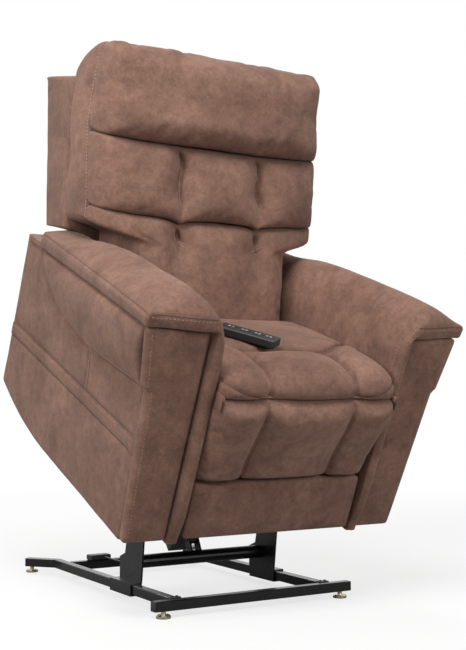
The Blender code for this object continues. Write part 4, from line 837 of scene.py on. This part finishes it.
def make_arm_pad(label, side):
    front = arm_front(CAP_TOP_Z)
    stations = [(front, 0.0050), (front + 0.0012, 0.0022), (front + 0.0040, 0.0006)]
    stations += [(y, 0.0) for y in np.linspace(front + 0.010, CAP_REAR_Y - 0.009, 84)]
    stations += [(CAP_REAR_Y - 0.004, 0.0008), (CAP_REAR_Y - 0.001, 0.0030),
                 (CAP_REAR_Y, 0.0060)]

    def placed(section, y):
        lean = (arm_front(section[:, 1]) - front) * ease((0.10 - y) / 0.35)
        proud = 0.024 * ease((0.445 - section[:, 0]) / 0.14) * ease((0.10 - y) / 0.28)
        lean = lean - proud * (0.35 + 0.65 * ease((section[:, 1] - 0.29) / 0.10))
        return np.stack([side * section[:, 0], y + lean, section[:, 1]], axis=1)

    rings = []
    for y, inset in stations:
        first, second = cap_section(y)
        section = np.concatenate([first, second[::-1]])
        rings.append(placed(section - outline_normals(section) * inset, y))
    half = LEAF_STEPS + CAP_STEPS
    count = 2 * half
    points = list(np.concatenate(rings))
    faces = strip(0, count, len(rings))
    for ring, bulge in ((0, -0.0035), (len(rings) - 1, 0.0015)):
        base = ring * count
        columns = [[base + i for i in range(half)]]
        for share in (0.2, 0.5, 0.8):
            first = len(points)
            for i in range(half):
                middle = mix(rings[ring][i], rings[ring][count - 1 - i], share)
                points.append(middle + np.array([0.0, bulge * 4 * share * (1 - share), 0.0]))
            columns.append(list(range(first, first + half)))
        columns.append([base + count - 1 - i for i in range(half)])
        for a, b in zip(columns, columns[1:]):
            faces += [(a[i], a[i + 1], b[i + 1], b[i]) for i in range(half - 1)]
        faces += [tuple(column[end] for column in columns) for end in (0, -1)]
    obj = mesh_object("arm_pad_cover_" + label, chair_points(points), faces)
    # a groove where the band meets the cap's top panel
    x, y, z = np.array(points).T
    seam = dip(z - cap_top(y) + 0.003, 0.004) * (np.abs(x) > cap_out(y) - 0.006)
    push(obj, -0.0022 * seam * (y > front + 0.004))
    soft = ease((z - 0.86) / 0.04) * ease((np.abs(x) - 0.27) / 0.03)
    wrinkle(obj, 0.0022, 9.0, 7.0 + side, soft)
    cover(obj, "chair", ["arm_pad_" + label])
    rows = [[(side * (cap_out(y) + 0.003), y, cap_top(y) - 0.011)
             for y in np.linspace(front + 0.01, CAP_REAR_Y - 0.02, 60)],
            [(side * x, arm_front(0.89) - 0.020, CAP_TOP_Z - 0.011)
             for x in np.linspace(0.285, CAP_OUT_X - 0.008, 20)],
            [(side * (LEAF_INNER_X + 0.001), arm_front(z) + 0.002, z)
             for z in np.linspace(0.85, 0.33, 30)]]
    stitches("cap_stitching_" + label, obj, rows, "chair")
    # dark cords of painted shade under the band's seam and across the cap's front
    band = [[(side * (cap_out(y) + 0.004), y, cap_top(y) - 0.0045)
             for y in np.linspace(front + 0.004, CAP_REAR_Y - 0.01, 90)]]
    seam_shade_cord("cap_seam_shade_" + label, obj, band, (-side, 0, 0), "chair")
    face = [[(side * x, front, CAP_TOP_Z - 0.0045) for x in np.linspace(0.270, 0.466, 34)]]
    seam_shade_cord("cap_front_seam_shade_" + label, obj, face, (0, 1, 0), "chair")


# ---- backrest ----
def side_seam(z):
    """y of the seam between the back's front cushions and its side boxing."""
    return np.interp(z, [0.60, 0.80, 0.926, 1.011, 1.110, 1.204, 1.336, 1.400, 1.440, 1.470],
                     [0.315, 0.368, 0.400, 0.413, 0.447, 0.481, 0.509, 0.516, 0.517, 0.517])


def shell_front(z):
    """y where the side boxing meets the outside shell."""
    return np.interp(z, [0.60, 0.913, 1.097, 1.334, 1.46], [0.485, 0.564, 0.598, 0.668, 0.70])


def wing_bottom(y):
    return WING_Z - WING_SLOPE * (y - WING_Y)


def back_half(z, y):
    above = ease((z - wing_bottom(y) - 0.004) / 0.030)
    taper = 0.018 * ease((z - ROW_TOP_Z) / (HEAD_TOP_Z - ROW_TOP_Z))
    return mix(BACK_NARROW, BACK_WIDE - taper, above)


def back_crown(u, z):
    """Depth of the front cushions at their seams, before they bulge."""
    edge = mix(0.054, 0.078, ease((z - 0.93) / 0.30))
    return edge + (0.106 - edge) * (1 - np.abs(u) ** 2.6)


def row_seam(x, sag, dips):
    """How far the seam between two rows falls at x: it sags, and dips at the tucked columns."""
    return sag * (1 - (x / BACK_WIDE) ** 2) + dips * np.exp(-np.abs(np.abs(x) - BACK_SEAM_X) / 0.03)


class Row:
    """One of the back's three rows; its seams are (height, sag, dips) below and above."""

    def __init__(self, name, node, below, above, bulge, cap, fold=None):
        self.below, self.above, self.bulge, self.fold = below, above, bulge, fold
        tall = (above[0] - below[0]) / 2
        columns = (-BACK_SEAM_X, BACK_SEAM_X) if fold else ()
        grid = (marks(BACK_WIDE, 0.0095, columns), marks(0.055, 0.0120), marks(tall, 0.0090))
        pad = Pad(name, grid, 0.012 if fold else 0.020, self.shape)
        out = (1 - pad.v) / 2
        sewn = ease((np.abs(pad.w) - 0.94) / 0.05) if fold else ease((-pad.w - 0.94) / 0.05)
        folded = self.folded(pad.x, pad.w) if fold else np.zeros_like(out)
        inflate(pad.obj, most(1 - ease(out / 0.6), sewn, ease((np.abs(pad.u) - 0.93) / 0.05),
                              folded), cap)
        push(pad.obj, -0.0150 * folded * ease((out - 0.5) / 0.3))
        wrinkle(pad.obj, 0.0026, 9.0, below[0] * 10, ease((out - 0.3) / 0.4))
        cover(pad.obj, "backrest", [node])
        if fold:
            lines = [[self.crease(side, w) for w in np.linspace(0.93, fold[1] + 0.22, 30)]
                     for side in (-1, 1)]
            # dark cords of painted shade along the tucked folds
            seam_shade_cord(name + "_fold_shade", pad.obj, lines, (0, 1, 0), "backrest", 0.0010)

    def wander(self, side, w):
        """How far inwards a column's fold runs from its mark."""
        return 0.0045 * np.sin(w * 5.5 + side * 1.3) - 0.004 * (1 - w)

    def height(self, x, w):
        return mix(self.below[0] - row_seam(x, *self.below[1:]),
                   self.above[0] - row_seam(x, *self.above[1:]), (w + 1) / 2)

    def crease(self, side, w):
        """A place on a column's fold, in front of the back."""
        x = side * (BACK_SEAM_X - self.wander(side, w))
        z = self.height(x, w)
        return float(x), float(side_seam(z)) - 0.13, float(z)

    def folded(self, x, w):
        """Where the tucked folds are, from 0 to 1."""
        top, low = self.fold
        span = ease((top - w) / 0.12) * ease((w - low) / 0.40)
        return dip(np.abs(x) - BACK_SEAM_X + self.wander(np.sign(x), w), 0.0046) * span

    def shape(self, u, v, w):
        rear = (v + 1) / 2
        level = mix(self.below[0], self.above[0], (w + 1) / 2)
        half = back_half(level, side_seam(level))
        x = u * half
        z = self.height(x, w)
        seam_y = side_seam(z)
        across = np.abs(x) / BACK_WIDE
        middle = 1 - across ** 3.0
        if self.fold:
            height = 1 - np.abs(w) ** 3.4
            column = dip(np.abs(x) - BACK_SEAM_X, 0.034) * ease((w - self.fold[1] + 0.5) / 0.9)
        else:
            height = np.where(w < 0, 1 - np.abs(w) ** 5.0, 1 - 0.72 * np.abs(w) ** 3.0)
            height = height * (1 + 0.55 * dip(w + 0.60, 0.34))
            column = 0.0
        bulge = self.bulge * np.sqrt(np.maximum(height, 0.0)) * (1 - 0.62 * column)
        round_off = np.sqrt(np.maximum(0.0, 1 - np.abs(u) ** 22))
        depth = (back_crown(across, level) + bulge * (0.25 + 0.75 * middle)
                 - 0.008 * column) * round_off
        if not self.fold:
            depth = depth * (1 - 0.42 * ease((w - 0.62) / 0.38) ** 2)
            z = z - 0.010 * np.abs(u) ** 16 * ease((w - 0.5) / 0.5)
            z = z - 0.006 * rear * ease((w - 0.6) / 0.4)
        return x, mix(seam_y - depth, seam_y - 0.0006, rear), z


def make_boxing():
    """The side and top boxing behind the front cushions, one body across the back."""
    def shape(u, v, w):
        low = ROW_LOW_Z + 0.004
        rear = (v + 1) / 2
        up = (w + 1) / 2
        top = mix(HEAD_TOP_Z - 0.004, 1.352, rear ** 1.5)
        z = mix(low, top, up)
        # away from its edges it reaches in behind the rows, so that no light shows between them
        reach = 0.022 * ease((0.92 - np.abs(u)) / 0.08) * ease((1.42 - z) / 0.03)
        y = mix(side_seam(z) + 0.0006 - reach, shell_front(z) - 0.001, rear)
        half = back_half(z, y)
        puff = 0.006 * np.sin(math.pi * rear) * ease((z - 0.93) / 0.05)
        droop = 0.006 * np.abs(u) ** 10 * ease((w - 0.7) / 0.3)
        return u * (half + puff), y, z - droop

    grid = (marks(0.360, 0.016), marks(0.075, 0.011), marks(0.40, 0.0115))
    pad = Pad("back_boxing_cover", grid, 0.018, shape)
    wrinkle(pad.obj, 0.0022, 12.0, 5.0, np.abs(pad.u) > 0.9)
    cover(pad.obj, "backrest", [])
    lines = [[(side * (float(back_half(z, side_seam(z))) + 0.003), float(side_seam(z)) + 0.0085, z)
              for z in np.linspace(0.935, 1.435, 60)] for side in (-1, 1)]
    stitches("back_stitching", pad.obj, lines, "backrest", PALE_THREAD)


def make_shell():
    """The outside back: narrow between the arms, and as wide as the wings above them."""
    def shape(u, v, w):
        rear = (v + 1) / 2
        z = mix(SHELL_LOW_Z, SHELL_TOP_Z, (w + 1) / 2)
        wide = ease((z - SHELL_STEP_Z) / 0.002)
        y_rear = np.where(z < 0.867, mix(0.672, 0.717, (z - 0.622) / 0.245),
                          0.717 + 0.391 * (z - 0.869))
        half = mix(np.where(z < SHELL_NOTCH_Z, 0.2290, 0.2545), BACK_WIDE - 0.007, wide)
        lift = (wing_bottom(0.60) - 0.862) * ease((0.95 - z) / 0.08) * (1 - rear) * wide
        y = mix(shell_front(z) + 0.001, y_rear, rear)
        z = z + lift - 0.032 * ease((w - 0.86) / 0.14) * rear
        return u * half, y, z

    middle, tall = (SHELL_TOP_Z + SHELL_LOW_Z) / 2, (SHELL_TOP_Z - SHELL_LOW_Z) / 2
    steps = (SHELL_NOTCH_Z - middle, SHELL_STEP_Z + 0.0005 - middle)
    grid = (marks(0.360, 0.018), marks(0.095, 0.013), marks(tall, 0.011, steps))
    pad = Pad("back_shell_cover", grid, 0.014, shape)
    wrinkle(pad.obj, 0.0016, 10.0, 9.0)
    cover(pad.obj, "backrest", ["back_shell"])


def make_rear_panel():
    def shape(u, v, w):
        z = mix(REAR_LOW_Z, REAR_TOP_Z, (w + 1) / 2)
        bow = 0.002 * (1 - u ** 4) * (1 - w ** 4)
        return u * 0.2915, mix(0.7186, 0.7380 + bow, (v + 1) / 2), z

    grid = (marks(0.29, 0.018), marks(0.0098, 0.005), marks(0.136, 0.014))
    pad = Pad("rear_panel_cover", grid, 0.006, shape)
    cover(pad.obj, "chair", ["rear_panel"])


make_seat()
make_leg_pad()
make_foot_panel()
for make_pair in (make_hinge_cover, make_side_tape):
    for place in SIDES:
        make_pair(*place)
for place in reversed(SIDES):
    make_arm_side(*place)
    make_front_panel(*place)
    make_arm_pad(*place)
Row("lower_cushion_cover", "back_cushion_lower", (ROW_LOW_Z, 0.0, 0.0),
    (ROW_MID_Z + 0.0040, 0.003, 0.012), 0.032, 0.020, fold=(0.97, 0.42))
Row("middle_cushion_cover", "back_cushion_middle", (ROW_MID_Z + 0.0052, 0.003, 0.012),
    (ROW_TOP_Z - 0.0010, 0.003, 0.0), 0.034, 0.020, fold=(0.97, -0.62))
Row("head_cushion_cover", "head_cushion", (ROW_TOP_Z + 0.0002, 0.003, 0.0),
    (HEAD_TOP_Z, 0.0, 0.0), 0.046, 0.014)
make_boxing()
make_shell()
make_rear_panel()


# ---- base and handset ----
def small_block(name, centre, half, radius, body, look):
    """A rounded block on the base, in the row frame."""
    grid = [sorted({-h, -h + radius, -h + radius / 3, h - radius / 3, h - radius, h}) for h in half]
    uvw, quads = lattice(grid, radius)
    points = uvw * np.array(half) + np.array(centre)
    dress(mesh_object(name, points, quads), body, look=look)


def screw_heads(name, places, body, look, radius, tall):
    """Hexagon heads with domed tops; each place has its outward axis, in the row frame."""
    points, faces = [], []
    for place, axis in places:
        place, axis = Vector(place), Vector(axis).normalized()
        across = axis.orthogonal().normalized()
        first = len(points)
        for height, share in ((-0.001, 1.0), (tall * 0.75, 1.0), (tall, 0.86)):
            points += circle(place + axis * height, across, axis.cross(across),
                             radius * share, 6)
        points += [place + axis * (tall + 0.0004), place - axis * 0.001]
        faces += strip(first, 6, 3)
        for turn in range(6):
            after = (turn + 1) % 6
            faces += [(first + 12 + turn, first + 12 + after, first + 18),
                      (first + after, first + turn, first + 19)]
    obj = mesh_object(name, points, faces)
    obj.data.shade_flat()
    dress(obj, body, look=look)


def make_base_details():
    places = []
    for label, side in SIDES:
        small_block("front_plug_" + label, (side * 0.3027, -0.3006, TUBE_MID_Z),
                    (0.0016, 0.0126, 0.0126), 0.0012, "base", CABLE)
        small_block("rail_tab_" + label, (side * TAB_X, TAB_Y, TUBE_TOP_Z + 0.0012),
                    (0.0150, 0.0100, 0.0014), 0.0010, "base", PAINT)
        places.append(((side * 0.2447, 0.470, TUBE_MID_Z), (side, 0, 0)))
        places += [((side * TAB_X + shift, TAB_Y, TUBE_TOP_Z + 0.0026), (0, 0, 1))
                   for shift in (0.007, -0.007)]
    screw_heads("base_screws", places, "base", PAINT, 0.0038, 0.0024)


KEY_PLACES = ((-0.1101, -0.0417), (-0.0857, -0.0708), (-0.0626, -0.0984), (-0.0426, -0.1221))
ARROW = ((-0.0032, 0.0), (0.0004, 0.0034), (0.0004, 0.0012), (0.0034, 0.0012),
         (0.0034, -0.0012), (0.0004, -0.0012), (0.0004, -0.0034))


def make_symbols():
    """Two raised pale arrows on each of the handset's keys."""
    turned = math.atan2(-0.080, 0.0675)
    cos, sin = math.cos(turned), math.sin(turned)
    count = len(ARROW)
    for number, (x, y) in enumerate(KEY_PLACES, start=1):
        points, faces = [], []
        for shift, flip in ((-0.0052, 1.0), (0.0052, -1.0)):
            first = len(points)
            for level in (0.8079, 0.8085):
                for a, b in ARROW:
                    a = a * flip + shift
                    points.append((x + a * cos - b * sin, y + a * sin + b * cos, level))
            faces += strip(first, count, 2)
            faces += [tuple(range(k, k + count)) for k in (first, first + count)]
        obj = mesh_object("key_symbol_%d" % number, chair_points(points), faces)
        obj.data.shade_flat()
        dress(obj, "key_%d" % number, look=SYMBOL)


make_base_details()
make_symbols()


# ---- stage, light and camera ----
WHITE = (1.0, 1.0, 1.0, 1.0)
FLOOR_SHOWN, FLOOR_BOUNCE = (0.90, 0.90, 0.90, 1.0), (0.30, 0.30, 0.30, 1.0)


def make_stage():
    bm = bmesh.new()
    bmesh.ops.create_grid(bm, x_segments=1, y_segments=1, size=30.0)
    mesh = bpy.data.meshes.new("floor")
    bm.to_mesh(mesh)
    bm.free()
    floor = show("floor", mesh)
    n = Look("pale_floor")
    seen = n.add("LightPath").outputs["Is Camera Ray"]
    pale = n.add("Mix", data_type="RGBA", A=FLOOR_BOUNCE, B=FLOOR_SHOWN, Factor=seen)
    for key, value in (("Base Color", pale.outputs["Result"]), ("Roughness", 0.9),
                       ("Specular IOR Level", 0.1)):
        n.give(n.shader, key, value)
    # far from the chair the floor fades into the white backdrop
    length = n.add("VectorMath", n.add("NewGeometry").outputs["Position"], operation="LENGTH")
    fade = n.add("MapRange", length.outputs["Value"], interpolation_type="SMOOTHSTEP",
                 From_Min=1.2, From_Max=4.0)
    shown = n.add("Math", n.range(fade.outputs["Result"], 0.72, 1.0), seen,
                  operation="MULTIPLY")
    white = n.add("Emission", Strength=1.0, Color=WHITE)
    both = n.add("MixShader", shown.outputs["Value"], n.shader.outputs["BSDF"],
                 white.outputs["Emission"])
    n.give(n.tree.nodes["Material Output"], "Surface", both.outputs["Shader"])
    floor.data.materials.append(n.owner)


def make_world():
    """Soft light from all round, and a white backdrop where the camera or a gloss sees it."""
    world = bpy.data.worlds.new("studio")
    bpy.context.scene.world = world
    n = Nodes(world)
    soft = n.tree.nodes["Background"]
    n.give(soft, "Color", (1.0, 0.98, 0.96, 1.0))
    n.give(soft, "Strength", 0.22)
    white = n.add("Background", Color=WHITE, Strength=1.0)
    rays = n.add("LightPath").outputs
    seen = n.add("Math", rays["Is Camera Ray"], rays["Is Glossy Ray"], operation="MAXIMUM")
    both = n.add("MixShader", seen.outputs["Value"], soft.outputs["Background"],
                 white.outputs["Background"])
    n.give(n.tree.nodes["World Output"], "Surface", both.outputs["Shader"])


def make_lamp(name, place, aim_z, size, power):
    light = bpy.data.lights.new(name, "AREA")
    light.shape = "DISK"
    light.size = size
    light.energy = power
    lamp = show(name, light)
    lamp.location = place
    aim = Vector((0.0, 0.0, aim_z)) - Vector(place)
    lamp.rotation_mode = "QUATERNION"
    lamp.rotation_quaternion = aim.to_track_quat("-Z", "Y")


CAMERA_AT = Vector((-1.5478, -2.7665, 0.5473))
CAMERA_AZIMUTH, CAMERA_ELEVATION, CAMERA_ROLL = -30.96, -3.93, -0.13
FOCAL_PX, IMAGE_HEIGHT_PX, SENSOR_MM = 1085.97, 650, 36.0


def make_camera():
    camera = bpy.data.cameras.new("camera")
    camera.sensor_width = SENSOR_MM
    camera.lens = FOCAL_PX * SENSOR_MM / IMAGE_HEIGHT_PX
    obj = show("camera", camera)
    azimuth, elevation = math.radians(CAMERA_AZIMUTH), math.radians(CAMERA_ELEVATION)
    back = Vector((math.sin(azimuth) * math.cos(elevation),
                   -math.cos(azimuth) * math.cos(elevation), math.sin(elevation)))
    right = Vector((0, 0, 1)).cross(back).normalized()
    up = back.cross(right)
    turn = Matrix((right, up, back)).transposed().to_4x4()
    roll = Matrix.Rotation(math.radians(CAMERA_ROLL), 4, "Z")
    obj.matrix_world = Matrix.Translation(CAMERA_AT) @ turn @ roll
    camera.clip_end = 200.0
    bpy.context.scene.camera = obj


make_stage()
make_world()
make_lamp("side", (-3.6, -1.0, 2.2), 0.8, 1.8, 88.0)
make_lamp("top", (-1.3, -2.1, 3.9), 0.8, 1.8, 104.0)
make_lamp("front", (1.0, -4.2, 1.5), 0.8, 1.8, 54.0)
make_lamp("rear", (0.8, 3.0, 2.8), 0.9, 2.0, 60.0)
make_camera()
bpy.context.scene.view_settings.view_transform = "Standard"
